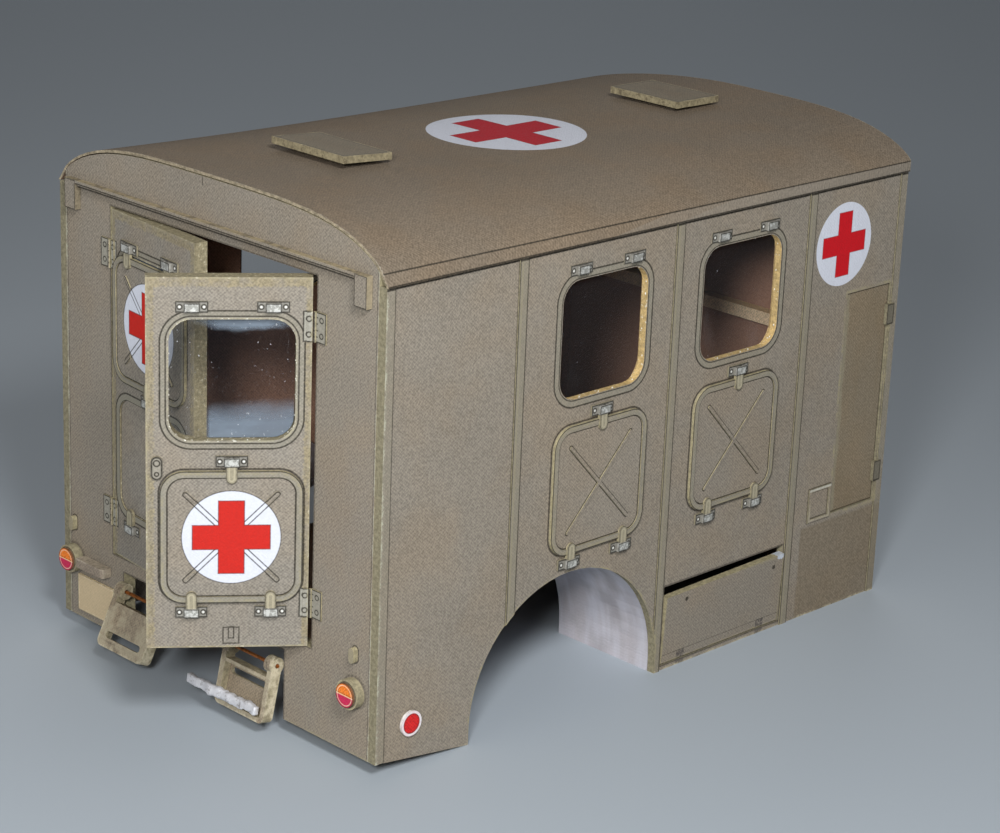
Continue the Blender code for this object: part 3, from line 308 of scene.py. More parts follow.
class Value:
    """A socket of a finish, for use in sums."""

    def __init__(self, finish, socket):
        self.finish = finish
        self.socket = socket

    def math(self, operation, *others):
        values = {0: self} | {place + 1: other for place, other in enumerate(others)}
        return self.finish.node("ShaderNodeMath", {"operation": operation}, values)

    def __add__(self, other):
        return self.math("ADD", other)

    def __sub__(self, other):
        return self.math("SUBTRACT", other)

    def __rsub__(self, other):
        return self.finish.node("ShaderNodeMath", {"operation": "SUBTRACT"}, {0: other, 1: self})

    def __mul__(self, other):
        return self.math("MULTIPLY", other)

    def __abs__(self):
        return self.math("ABSOLUTE")

    __radd__ = __add__
    __rmul__ = __mul__

    def at_least(self, other):
        return self.math("MAXIMUM", other)

    def at_most(self, other):
        return self.math("MINIMUM", other)

    def rise(self, low, high):
        """0 below low, 1 above high, smooth between; falls where low is above high."""
        start, end = (low, high) if low < high else (high, low)
        ends = {3: 0.0, 4: 1.0} if low < high else {3: 1.0, 4: 0.0}
        return self.finish.node("ShaderNodeMapRange", {"interpolation_type": "SMOOTHSTEP"},
                                {0: self, 1: start, 2: end} | ends)


class Finish:
    """One material: a Principled shader and the nodes that feed it."""

    def __init__(self, name):
        self.material = bpy.data.materials.new(name)
        self.material.use_nodes = True
        self.tree = self.material.node_tree
        self.shader = self.tree.nodes["Principled BSDF"]

    def node(self, kind, settings, values, output=0):
        made = self.tree.nodes.new(kind)
        for key, setting in settings.items():
            setattr(made, key, setting)
        for key, value in values.items():
            self.feed(made.inputs[key], value)
        return Value(self, made.outputs[output])

    def feed(self, socket, value):
        if isinstance(value, Value):
            self.tree.links.new(value.socket, socket)
        else:
            socket.default_value = value

    def set(self, **values):
        for key, value in values.items():
            self.feed(self.shader.inputs[key.replace("_", " ")], value)

    def place(self, origin=(0, 0, 0), turn=(0, 0, 0)):
        """Object coordinates in millimetres, from an origin in metres and a turn in radians."""
        raw = self.node("ShaderNodeTexCoord", {}, {}, "Object")
        values = {"Vector": raw, "Location": origin, "Rotation": turn, "Scale": (MM, MM, MM)}
        return self.node("ShaderNodeMapping", {"vector_type": "TEXTURE"}, values)

    def parts(self, vector):
        split = self.tree.nodes.new("ShaderNodeSeparateXYZ")
        self.feed(split.inputs[0], vector)
        return [Value(self, socket) for socket in split.outputs]

    def facing(self, direction):
        """How far the surface faces along a direction, from -1 to 1."""
        normal = self.node("ShaderNodeTexCoord", {}, {}, "Normal")
        return self.node("ShaderNodeVectorMath", {"operation": "DOT_PRODUCT"},
                         {0: normal, 1: direction}, "Value")

    def noise(self, vector, scale, detail=2.0, roughness=0.5, stretch=None):
        if stretch:
            vector = self.node("ShaderNodeVectorMath", {"operation": "MULTIPLY"},
                               {0: vector, 1: stretch})
        values = {"Vector": vector, "Scale": scale, "Detail": detail, "Roughness": roughness}
        return self.node("ShaderNodeTexNoise", {}, values, "Fac")

    def over(self, base, colour, mask):
        return self.node("ShaderNodeMix", {"data_type": "RGBA"}, {0: mask, 6: base, 7: colour}, 2)

    def scaled(self, colour, factor):
        if isinstance(colour, tuple):
            colour = colour[:3]
        return self.node("ShaderNodeVectorMath", {"operation": "SCALE"},
                         {0: colour, "Scale": factor}, "Vector")

    def bump(self, height, distance):
        values = {"Height": height, "Distance": distance, "Strength": 1.0}
        return self.node("ShaderNodeBump", {}, values, "Normal")


# Distances from printed shapes, in millimetres, from a spot (a, b) on the panel
def length(a, b):
    return (a * a + b * b).math("SQRT")


def from_disc(spot, centre, radius):
    return length(spot[0] - centre[0], spot[1] - centre[1]) - radius


def from_rectangle(spot, centre, size, radius=0.0):
    a = abs(spot[0] - centre[0]) - (size[0] / 2 - radius)
    b = abs(spot[1] - centre[1]) - (size[1] / 2 - radius)
    corner = length(a.at_least(0.0), b.at_least(0.0))
    return corner + a.at_least(b).at_most(0.0) - radius


def from_cross(spot, centre, width, span):
    a, b = abs(spot[0] - centre[0]), abs(spot[1] - centre[1])
    upright = (a - width / 2).at_least(b - span / 2)
    level = (a - span / 2).at_least(b - width / 2)
    return upright.at_most(level)


def from_crossed_bars(spot, centre, end):
    """Distance from two bars that cross at the centre and end at plus or minus end."""
    a, b = abs(spot[0] - centre[0]), abs(spot[1] - centre[1])
    square = end[0] ** 2 + end[1] ** 2
    along = (a * (end[0] / square) + b * (end[1] / square)).at_most(1.0)
    return length(a - along * end[0], b - along * end[1])


def from_pair(value, centres):
    """Distance along one axis from the nearer of two places."""
    middle, half = sum(centres) / 2, abs(centres[1] - centres[0]) / 2
    return abs(abs(value - middle) - half)


def nearest(*distances):
    least = distances[0]
    for distance in distances[1:]:
        least = least.at_most(distance)
    return least


def within(distance, soft=0.05):
    return distance.rise(soft, -soft)


def line(distance, width=0.2, soft=0.06):
    return abs(distance).rise(width / 2 + soft, width / 2 - soft)


def either(*masks):
    total = masks[0]
    for mask in masks[1:]:
        total = total.at_least(mask)
    return total


class Card:
    """A sheet of printed card on one panel: base colour, marks on it and edges."""

    def __init__(self, name, paint, origin=BODY_ORIGIN, turn=(0, 0, 0), flat="xz",
                 out=("y", -1), face=0.0, grain=1.0):
        self.finish = Finish(name)
        f = self.finish
        self.point = f.place(origin, turn)
        axes = dict(zip("xyz", f.parts(self.point)))
        self.spot = (axes[flat[0]], axes[flat[1]])
        self.depth = axes[out[0]] * out[1] - face
        direction = Vector([out[1] if letter == out[0] else 0 for letter in "xyz"])
        direction.rotate(Matrix.Rotation(turn[2], 3, "Z") @ Matrix.Rotation(turn[1], 3, "Y")
                         @ Matrix.Rotation(turn[0], 3, "X"))
        self.front = f.facing(tuple(direction))
        self.turned = abs(self.front).rise(0.8, 0.55)
        self.grain(grain)
        warm = self.noise(0.10, 2.0, 0.5).rise(0.35, 0.70)
        tint = (paint[0] * 1.04, paint[1] * 0.99, paint[2] * 0.93, 1.0)
        self.colour = f.over(f.scaled(paint, self.tone), f.scaled(tint, self.tone), warm)
        self.rough = 0.66 + self.fleck * 0.14
        self.metal = None

    def noise(self, scale, detail=2.0, roughness=0.6, stretch=None):
        return self.finish.noise(self.point, scale, detail, roughness, stretch)

    def grain(self, amount):
        """Fine canvas print with small flecks and wide soft clouds."""
        drift = self.noise(1.1, roughness=0.5) * 0.5
        a = (self.spot[0] + drift) * (math.tau / WEAVE_PITCH[0])
        b = (self.spot[1] - drift) * (math.tau / WEAVE_PITCH[1])
        self.weave = a.math("SINE") * b.math("SINE")
        self.fleck = self.noise(FLECK_SCALE).rise(0.30, 0.70)
        cloud = self.noise(CLOUD_SCALE, roughness=0.5)
        self.tone = ((0.90 - 0.18 * amount) + self.weave * (0.16 * amount)
                     + self.fleck * (0.36 * amount) + cloud * 0.2)

    def ink(self, mask, colour=PRINT_DARK, strength=0.95):
        """Printed mark, broken a little by the grain."""
        broken = mask * (strength - self.fleck * 0.18)
        self.colour = self.finish.over(self.colour, colour, broken)

    def paint(self, mask, colour, metal=0.0, rough=None, depth=0.2):
        """Solid colour, its tone varied by depth with the grain."""
        f = self.finish
        varied = f.scaled(colour, 1.0 - depth / 2 + self.fleck * depth)
        self.colour = f.over(self.colour, varied, mask)
        if metal:
            self.metal = mask * metal if self.metal is None else self.metal + mask * metal
        if rough is not None:
            self.rough = self.rough * (1 - mask) + mask * rough

    def wear(self, distance, width=0.4, strength=0.7, colour=PALE_WEAR_AND_HIGHLIGHT):
        """Pale rubbed line along an edge: distance is zero on the edge."""
        patchy = self.noise(0.45, 3.0, 0.7).rise(0.36, 0.60)
        ragged = abs(distance) + (self.fleck - 0.5) * width
        worn = ragged.rise(width, 0.0) * patchy * strength
        self.colour = self.finish.over(self.colour, colour, worn)

    def edges(self, colour, mask=None, strength=1.0):
        """Card seen edge on, where the surface turns away from the panel's face."""
        f = self.finish
        fibre = self.noise(1.8, 3.0, 0.7).rise(0.3, 0.7)
        turned = self.turned if mask is None else self.turned * mask
        self.colour = f.over(self.colour, f.scaled(colour, 0.72 + fibre * 0.5), turned * strength)

    def back(self, colour):
        """Unprinted back of the card."""
        f = self.finish
        bare = f.scaled(colour, 0.88 + self.fleck * 0.2)
        self.colour = f.over(self.colour, bare, self.front.rise(-0.5, -0.7))

    def white_disc(self, spot, centre, radius):
        disc = from_disc(spot, centre, radius)
        self.paint(within(disc), DISC_WHITE, depth=0.05)
        return disc

    def red_cross(self, spot, centre, size, red, outline, outline_red=OUTLINE_RED, strength=0.6):
        """Cross whose arms have a width and a span, with a thin dark outline."""
        cross = from_cross(spot, centre, *size)
        self.paint(within(cross), red, depth=0.1)
        self.ink(line(cross, outline), outline_red, strength)

    def fittings(self, spots, seat, tongues=True):
        """Metal-painted clamps. Each spot runs from a clamp's middle: across it,
        and up along its tongue."""
        height = self.depth - seat
        raised = height.rise(0.20, 0.27)
        base = nearest(*[from_rectangle(spot, (0, 0), CLAMP_BASE) for spot in spots])
        block = nearest(*[from_rectangle(spot, (0, 0), CLAMP_BLOCK) for spot in spots])
        screws = nearest(*[from_disc(spot, (CLAMP_SCREW_ASIDE, 0), 0.0) for spot in spots])
        # Glints on the block tops and a bright dot on each screw are painted highlights
        glint = self.noise(1.9).rise(0.47, 0.60)
        self.paint(within(base, 0.1) * self.turned, FITTING_SIDE)
        self.paint(within(base) * raised, STEEL_GREY, 0.15, 0.5)
        self.ink(either(line(base + 0.08, 0.16), line(screws - 0.32, 0.16)) * raised)
        self.paint(within(screws - 0.16) * raised, STEEL_GLINT)
        if tongues:
            tongue = nearest(*[from_rectangle(spot, TONGUE_CENTRE, TONGUE_SIZE, TONGUE_ROUND)
                               for spot in spots])
            over = within(tongue, 0.1) * height.rise(0.45, 0.55)
            self.paint(over, TONGUE_OLIVE)
            self.ink(line(tongue + 0.06, 0.14) * over, strength=0.8)
            # Pale line inside the tongue's rim: a painted highlight
            self.ink(line(tongue + 0.42, 0.2) * over, PALE_WEAR_AND_HIGHLIGHT, 0.5)
        # Block tops painted lighter than their grey sides, a painted highlight
        top = within(block, 0.1) * height.rise(0.45, 0.80)
        self.paint(within(block, 0.1) * height.rise(0.30, 0.45) * self.turned, STEEL_GREY)
        self.paint(top, STEEL_HIGHLIGHT, 0.25, 0.4)
        self.colour = self.finish.over(self.colour, STEEL_GLINT, top * glint * 0.7)
        self.ink(line(block + 0.05, 0.14) * height.rise(0.80, 0.86))

    def done(self, *names, relief=FINE_RELIEF, sheen=0.22):
        f = self.finish
        height = self.weave * 0.3 + self.fleck
        f.set(Base_Color=self.colour, Roughness=self.rough, Normal=f.bump(height, relief),
              Specular_IOR_Level=sheen)
        if self.metal is not None:
            f.set(Metallic=self.metal)
        for name in names:
            dress(NODES[name], f.material)


def dress(piece, material):
    slots = piece.data.materials
    if len(slots):
        for place in range(len(slots)):
            slots[place] = material
    else:
        slots.append(material)


def clamp_spots(across, z, centre_z, height, single):
    """Spots for one clamp over the shutter and two under it, or the other way
    round where single is -1; across is the distance from the middle line."""
    reach = single * (height / 2 + CLAMP_STANDOFF)
    alone = (across, (centre_z + reach - z) * single)
    pair = (abs(across - CLAMP_SPREAD), (z - (centre_z - reach)) * single)
    return alone, pair


def print_seams(card):
    """The brown foot panel, the seam strips, the lines along the margins and a painted shadow line
    under the roof flange.
    """
    x, z = card.spot
    foot_panel = from_rectangle(card.spot, FOOT_PANEL_CENTRE, FOOT_PANEL_SIZE)
    card.paint(within(foot_panel, 0.35) * 0.55, PANEL_BROWN, depth=0.35)
    half_seam = SEAM_WIDTH / 2
    strips = [within(abs(x - start - half_seam) - half_seam) for start in SEAM_STARTS]
    card.ink(either(*strips), STRIP_GREEN, 0.6)
    grooves = [line(x - start - SEAM_GROOVE, 0.3, 0.12) for start in SEAM_STARTS]
    card.ink(either(*grooves), EDGE_OLIVE, 0.45)
    borders = [line(x - start - offset, 0.22)
               for start in SEAM_STARTS for offset in (0.02, SEAM_WIDTH - 0.02)]
    card.ink(either(*borders))
    rear, front = SIDE_MARGINS
    card.ink(either(within(x - rear), within(front - x)), STRIP_GREEN, 0.45)
    # Dark lines at the margins, and under the roof flange a painted shadow line
    card.ink(either(line(x - rear, 0.18), line(x - front, 0.18), line(z - FLANGE_SHADOW_Z, 0.3)))


def print_windows(card, middle):
    """Printed frames round the windows, and painted shadow lines round the shutters' places."""
    z = card.spot[1]
    window = from_rectangle((middle, z), (0, WINDOW_Z), WINDOW_SIZE, WINDOW_ROUND)
    card.ink(within(abs(window - 0.6) - 0.5), PRINT_GREEN, 0.45)
    card.ink(either(line(window - 1.12, 0.24), line(window - 0.2, 0.16)))
    shutter = from_rectangle((middle, z), (0, SHUTTER_Z), SHUTTER_SIZE, SHUTTER_ROUND)
    # Dark line round the shutter's place: painted shadow of the raised shutter
    card.ink(line(shutter - 0.1, 0.28), strength=0.85)
    return window


def print_openings(card):
    """Rims of the front hatch, filler lid, locker and wheel arch, and worn wall edges."""
    x, z = card.spot
    hatch = from_rectangle(card.spot, HATCH_CENTRE, HATCH_SIZE)
    card.wear(hatch - 0.25, 0.35, 0.9, EDGE_OLIVE)
    filler = from_rectangle(card.spot, FILLER_CENTRE, FILLER_SIZE)
    card.wear(filler + 0.3, 0.35, 0.5)
    # Pale band along the filler lid's top edge: a painted highlight
    card.paint(within(abs(z - FILLER_HIGHLIGHT_Z) - 0.2) * within(filler), FILLER_TOP_HIGHLIGHT)
    card.ink(either(line(filler - 0.05, 0.2), line(filler + 0.6, 0.18)), strength=0.8)
    locker = from_rectangle(card.spot, LOCKER_CENTRE, LOCKER_SIZE)
    card.ink(line(locker - 0.1, 0.3), strength=0.7)
    hinges = from_rectangle((from_pair(x, FLAP_HINGE_X), z), (0, 1.1), FLAP_HINGE_SIZE)
    card.ink(within(hinges), WALL_HINGE_DARK, 0.8)
    arch = from_disc(card.spot, ARCH_CENTRE, ARCH_RADIUS)
    card.wear(arch, 0.4, 0.9, EDGE_OLIVE)
    card.wear(x, 0.4, 0.9, CORNER_WORN)
    card.wear(z, 0.35, 0.7)


def dress_side_walls():
    for label, side in SIDES:
        card = Card("printed_side_" + label, OLIVE, out=("y", side), face=HALF_WIDTH)
        x, z = card.spot
        middle = from_pair(x, WINDOW_X)
        print_seams(card)
        window = print_windows(card, middle)
        card.white_disc(card.spot, SIDE_DISC, SIDE_DISC_RADIUS)
        card.red_cross(card.spot, SIDE_DISC, SIDE_CROSS, CROSS_RED, 0.1)
        print_openings(card)
        card.edges(EDGE_GREEN)
        card.edges(RAW_CARD, within(window - 0.02))
        crumbs = card.noise(1.9).rise(0.62, 0.70)
        card.paint(crumbs * within(window - 0.05) * 0.7, GLUE_WHITE, rough=0.3)
        clips = (abs(middle - CLAMP_SPREAD), z - (WINDOW_Z + CLIP_HEIGHT))
        card.fittings([clips], CLAMP_SUNK, tongues=False)
        hinge_rise = from_pair(z, HATCH_HINGE_Z)
        hinge = from_rectangle((x, hinge_rise), (HATCH_HINGE_X, 0), HATCH_HINGE_SIZE)
        card.paint(within(hinge) * card.depth.rise(0.28, 0.34), FITTING_SIDE, 0.15, 0.5)
        card.ink(line(hinge + 0.1, 0.14))
        card.done("side_wall_" + label)


def shutter_marks(card, spot, centre, size, rib_end=RIB_END):
    """Rim and crossed ribs of a shutter."""
    rim = from_rectangle(spot, centre, size, SHUTTER_ROUND)
    card.ink(within(abs(rim + 0.45) - 0.45), PRINT_GREEN, 0.45)
    card.wear(rim + 0.3, 0.3, 0.6, EDGE_OLIVE)
    card.ink(either(line(rim + 0.06, 0.18), line(rim + 0.98, 0.22)))
    bars = from_crossed_bars(spot, centre, rib_end)
    card.ink(line(bars - 0.32, 0.16))


def dress_side_shutters():
    for label, side in SIDES:
        card = Card("printed_shutter_" + label, OLIVE, out=("y", side),
                    face=HALF_WIDTH + SHUTTER_SEAT)
        x, z = card.spot
        middle = from_pair(x, WINDOW_X)
        shutter_marks(card, (middle, z), (0, SHUTTER_Z), SHUTTER_SIZE)
        card.edges(EDGE_OLIVE)
        card.fittings(clamp_spots(middle, z, SHUTTER_Z, SHUTTER_SIZE[1], 1), 0)
        card.done("shutter_rear_" + label, "shutter_front_" + label)


def dress_hatches():
    for label, side in SIDES:
        card = Card("printed_hatch_" + label, HATCH_OLIVE, out=("y", side),
                    face=HALF_WIDTH - HATCH_SUNK)
        rim = from_rectangle(card.spot, HATCH_CENTRE, HATCH_LID_SIZE)
        waver = card.noise(0.3, roughness=0.5) * 0.9
        card.paint((card.spot[0] - HATCH_REAR_X - waver).rise(0.9, 0.2) * 0.7, HATCH_STRIP)
        card.ink(line(rim, 0.3), strength=0.8)
        streak = card.noise(0.25, 3.0, stretch=(1.0, 1.0, 0.3)).rise(0.45, 0.7)
        card.paint(streak * 0.35, PANEL_BROWN)
        card.edges(EDGE_GREEN)
        card.done("front_hatch_" + label)


def dress_flaps():
    for label, side in SIDES:
        origin = (REAR_X, side * HALF_WIDTH * MM, FLAP_AXIS_Z * MM)
        card = Card("printed_flap_" + label, OLIVE, origin, (-side * FLAP_LEAN, 0, 0),
                    out=("y", side))
        x, z = card.spot
        hinges = from_rectangle((from_pair(x, FLAP_HINGE_X), z), (0, 0.2), FLAP_HINGE_SIZE)
        card.ink(within(hinges) * card.noise(2.2).rise(0.3, 0.6), FLAP_HINGE_DARK)
        latch = from_disc((from_pair(x, FLAP_LATCH_X), z), (0, FLAP_LATCH_Z), SCREW_RADIUS)
        card.ink(within(latch))
        nick = from_rectangle(card.spot, FLAP_NICK_CENTRE, FLAP_NICK_SIZE)
        card.ink(within(nick), strength=0.7)
        card.ink(line(z - FLAP_FOLD_Z, 0.12), strength=0.6)
        card.wear(from_rectangle(card.spot, FLAP_CENTRE, FLAP_SIZE), 0.3, 0.8, EDGE_OLIVE)
        card.edges(FLAP_EDGE)
        # Ragged silvery spot on the top front corner: a painted glint
        corner = from_disc(card.spot, FLAP_GLINT_CORNER, FLAP_GLINT_RADIUS)
        corner_glint = corner + (card.noise(1.3) - 0.5) * 1.6
        card.paint(corner_glint.rise(0.1, -0.1), FLAP_CORNER_GLINT, 0.3, 0.35)
        card.back(INNER_CARD_SHADED)
        card.done("locker_flap_" + label)


def dress_rear_wall():
    card = Card("printed_rear", OLIVE, flat="yz", out=("x", -1))
    y, z = card.spot
    middle, half_width = sum(JAMBS) / 2, (JAMBS[1] - JAMBS[0]) / 2
    doorway = from_rectangle(card.spot, (middle, DOORWAY_Z), (2 * half_width, DOORWAY_HEIGHT))
    card.ink(line(doorway - 0.1, 0.24), strength=0.6)
    card.ink(line(abs(y) - REAR_LINE_Y, 0.14), strength=0.75)
    across, rise = abs(y - middle), from_pair(z, HINGE_Z)
    hinge = from_rectangle((across, rise), (half_width + 1.0, 0), (2.0, HINGE_HEIGHT))
    card.paint(within(hinge), JAMB_HINGE_GREY, rough=0.55)
    screw_spot = (across, abs(rise - HINGE_SCREW_RISE))
    screws = from_disc(screw_spot, (half_width + 1.15, 0), SCREW_RADIUS)
    card.ink(either(line(hinge + 0.06, 0.2), line(screws, 0.18)))
    knuckle = from_rectangle((across, rise), (half_width + 0.1, 0), (0.7, HINGE_HEIGHT))
    card.ink(within(knuckle) * either(line(rise - 0.45, 0.18), line(rise - 1.3, 0.18)))
    bay = from_rectangle(card.spot, BAY_CENTRE, BAY_SIZE)
    card.ink(line(bay - 0.1, 0.24), strength=0.6)
    for lamp_y in LAMP_Y.values():
        tab = from_rectangle(card.spot, (lamp_y, TAB_Z), TAB_SIZE, TAB_ROUND)
        card.ink(line(tab - 0.1, 0.2), strength=0.8)
        card.ink(within(tab) * card.depth.rise(0.5, 0.7), EDGE_OLIVE, 0.7)
        lamp = from_disc(card.spot, (lamp_y, LAMP_Z), 2.1)
        card.ink(line(lamp - 0.15, 0.3, 0.15), strength=0.45)
    card.ink(within(from_rectangle(card.spot, MITRE_CENTRE, MITRE_SIZE)))
    card.wear(z - REAR_FOOT_Z, 0.4, 0.8, EDGE_OLIVE)
    card.wear(abs(y) - REAR_CORNER_Y, 0.35, 0.7, CORNER_WORN)
    card.edges(EDGE_OLIVE)
    card.back(INNER_CARD_SHADED)
    card.done("rear_wall")


def dress_front_wall():
    card = Card("printed_front", OLIVE, (REAR_X + BODY_LENGTH * MM, 0, 0), flat="yz",
                out=("x", 1))
    card.ink(line(abs(card.spot[0]) - FRONT_LINE_Y, 0.16), strength=0.6)
    card.wear(card.spot[1], 0.35, 0.7)
    card.edges(EDGE_OLIVE)
    card.back(INNER_CARD_SHADED)
    card.done("front_wall")


def leaf_place(side, jamb, rest):
    """Where a door leaf's hinge is in metres, and the leaf's turn at rest."""
    return (REAR_X + LEAF_AXIS_X * MM, jamb * MM, 0), (0, 0, -side * rest)


def leaf_card(name, side, jamb, rest, face):
    """Card on a door leaf, whose spot runs across from the hinge, and up."""
    card = Card(name, LEAF_OLIVE, *leaf_place(side, jamb, rest), flat="yz", out=("x", -1),
                face=face)
    card.spot = (abs(card.spot[0]), card.spot[1])
    return card


def print_leaf_frames(card, side):
    """Border of the leaf's sheet, its window's frame and the lower frame; returns the window."""
    sheet = from_rectangle(card.spot, LEAF_SHEET_CENTRE, LEAF_SHEET_SIZE, LEAF_SHEET_ROUND)
    blotch = card.noise(0.5, 3.0, 0.7).rise(0.30, 0.62)
    border = (sheet + (card.fleck - 0.5) * 0.3).rise(-0.05, 0.15)
    card.paint(border * (0.25 + blotch * 0.5), LEAF_BORDER, depth=0.5)
    window = from_rectangle(card.spot, (LEAF_MIDDLE, LEAF_WINDOW_Z), LEAF_WINDOW_SIZE,
                            WINDOW_ROUND)
    card.ink(within(abs(window - 0.6) - 0.55), PRINT_GREEN, 0.4)
    card.ink(either(line(window - 1.15, 0.22), line(window - 0.42, 0.2)))
    card.wear(window - 0.05, 0.25, 0.7, LEAF_WINDOW_WORN)
    low_frame = from_rectangle(card.spot, (LEAF_MIDDLE, LEAF_SHUTTER_LOW_Z), LEAF_SHUTTER_SIZE,
                               SHUTTER_ROUND)
    card.ink(line(low_frame - 0.12, 0.26), strength=0.9)
    if side > 0:
        card.ink(within(abs(low_frame + 0.45) - 0.45), PRINT_GREEN, 0.6)
        card.ink(line(low_frame + 0.9, 0.18))
    return window


def print_leaf_hinges(card):
    """Hinge plates, and the small marks over the leaf's foot."""
    across, z = card.spot
    rise = from_pair(z, HINGE_Z)
    hinge = from_rectangle((across, rise), (LEAF_HINGE_MIDDLE, 0), (LEAF_HINGE_WIDTH, HINGE_HEIGHT))
    card.paint(within(hinge), LEAF_HINGE_GREY, rough=0.5)
    screw_spot = (across, abs(rise - HINGE_SCREW_RISE))
    screws = from_disc(screw_spot, (LEAF_HINGE_MIDDLE, 0), SCREW_RADIUS)
    card.ink(either(line(hinge + 0.05, 0.2), line(screws, 0.2)))
    card.ink(either(*[line(from_rectangle(card.spot, *mark), 0.16) for mark in LATCH_MARKS]))


def print_lock(card):
    lock = from_rectangle(card.spot, LOCK_CENTRE, LOCK_SIZE, LOCK_ROUND)
    face = card.depth.rise(0.2, 0.28)
    card.paint(within(lock) * face, LOCK_GREY)
    card.ink(line(lock + 0.15, 0.24) * face)
    studs = nearest(*[from_disc(card.spot, centre, radius) for centre, radius in LOCK_STUDS])
    card.ink(line(studs, 0.2) * face)


def dress_leaves():
    for label, side, jamb, rest, _ in LEAVES:
        card = leaf_card("printed_leaf_" + label, side, jamb, rest, -0.3)
        across, z = card.spot
        window = print_leaf_frames(card, side)
        print_leaf_hinges(card)
        rim = from_rectangle(card.spot, LEAF_RIM_CENTRE, LEAF_RIM_SIZE)
        card.wear(rim, 0.3, 0.8, LEAF_RIM_WORN)
        card.edges(LEAF_EDGE)
        crumbs = card.noise(1.8).rise(0.60, 0.70)
        card.paint(crumbs * within(window - 0.15) * 0.8, GLUE_WHITE, rough=0.3)
        card.paint(crumbs * either(within(abs(rim) - 0.2), card.turned) * 0.5, LEAF_CRUMBS)
        from_middle = abs(across - LEAF_MIDDLE)
        if side > 0:
            pair = clamp_spots(from_middle, z, LEAF_SHUTTER_LOW_Z, LEAF_SHUTTER_SIZE[1], 1)[1]
            card.fittings([pair], CLAMP_SUNK)
        else:
            clips = (abs(from_middle - CLAMP_SPREAD), z - (LEAF_WINDOW_Z + CLIP_HEIGHT))
            card.fittings([clips], CLAMP_SUNK, tongues=False)
            print_lock(card)
        card.done("door_leaf_" + label)


def dress_leaf_shutters():
    for label, side, jamb, rest, shutter_z in LEAVES:
        card = leaf_card("printed_leaf_shutter_" + label, side, jamb, rest, -0.2)
        across, z = card.spot
        centre = (LEAF_MIDDLE, shutter_z)
        disc = card.white_disc(card.spot, centre, LEAF_DISC_RADIUS)
        card.ink(line(disc, 0.14), strength=0.8)
        shutter_marks(card, card.spot, centre, LEAF_SHUTTER_SIZE, LEAF_RIB_END)
        card.red_cross(card.spot, centre, LEAF_CROSS, LEAF_RED, 0.14, LEAF_OUTLINE_RED, 0.85)
        card.edges(EDGE_OLIVE)
        spots = clamp_spots(abs(across - LEAF_MIDDLE), z, shutter_z, LEAF_SHUTTER_SIZE[1], -side)
        card.fittings(spots, 0)
        card.done("door_shutter_" + label)


def dress_roof():
    card = Card("printed_roof", ROOF_OLIVE, flat="xy", out=("z", 1))
    f = card.finish
    card.white_disc(card.spot, ROOF_DISC, ROOF_DISC_RADIUS)
    card.red_cross(card.spot, ROOF_DISC, ROOF_CROSS, ROOF_RED, 0.12)
    x = card.spot[0]
    fold = card.depth - FOLD_Z
    sideways = abs(f.facing((0, 1, 0)))
    card.paint(sideways.rise(0.90, 0.97) * within(fold) * 0.7, FLANGE_GREY)
    # Fold line, and a painted shadow line at the flange's foot
    fold_line_and_shadow = either(line(fold, 0.18), line(fold + FLANGE_SHADOW_DROP, 0.24))
    card.ink(fold_line_and_shadow * sideways.rise(0.5, 0.8))
    card.wear(x, 0.22, 0.7, ROOF_WORN)
    card.wear(x - BODY_LENGTH, 0.22, 0.5)
    # Back of the roof in dark brown: painted shade inside the body
    card.back(INNER_BROWN_SHADED)
    ends = abs(f.facing((1, 0, 0))).rise(0.6, 0.8)
    fibre = card.noise(1.2, 3.0, 0.7).rise(0.3, 0.7)
    card.colour = f.over(card.colour, f.scaled(ROOF_EDGE, 0.6 + fibre * 0.8), ends)
    card.done("roof_skin", relief=ROOF_RELIEF)


def dress_vents():
    for name, centre, size in VENTS:
        card = Card("printed_vent_" + name, ROOF_OLIVE, flat="xy", out=("z", 1))
        rim = from_rectangle(card.spot, centre, size)
        card.paint(rim.rise(-9.0, 0.0) * 0.3, PRINT_GREEN)
        card.ink(line(rim + 0.5, 0.12), strength=0.7)
        card.wear(rim, 0.2, 0.9, VENT_CREAM)
        card.edges(VENT_EDGE)
        stains = card.noise(1.1, 3.0, 0.7).rise(0.46, 0.36)
        card.ink(card.turned * stains, VENT_STAIN, 0.8)
        # Dark foot under the vent's overhang: painted shade
        foot = from_rectangle(card.spot, centre, [side - 2 * VENT_OVERHANG for side in size])
        card.ink(card.turned * within(foot), VENT_FOOT_SHADE, 0.9)
        card.done("roof_vent_" + name)


def dress_rail():
    card = Card("printed_rail", OLIVE, flat="yz", out=("x", -1))
    y, z = card.spot
    card.edges(RAIL_EDGE)
    lines = either(*[line(z - line_z, 0.28) for line_z in RAIL_LINES_Z])
    card.ink(lines * within(abs(y) - RAIL_LINES_END_Y))
    block = from_rectangle((abs(y), z), RAIL_BLOCK_CENTRE, RAIL_BLOCK_SIZE)
    card.ink(line(block + 0.08, 0.14) * card.front.rise(0.5, 0.7))
    card.wear(z - RAIL_TOP_Z, 0.1, 0.6, RAIL_WORN)
    inner_faces = block.rise(0.1, -0.1) * card.turned * within(RAIL_END_Y - abs(y))
    card.paint(inner_faces * 0.6, RAIL_BLOCK_EDGE)
    card.done("rain_rail")


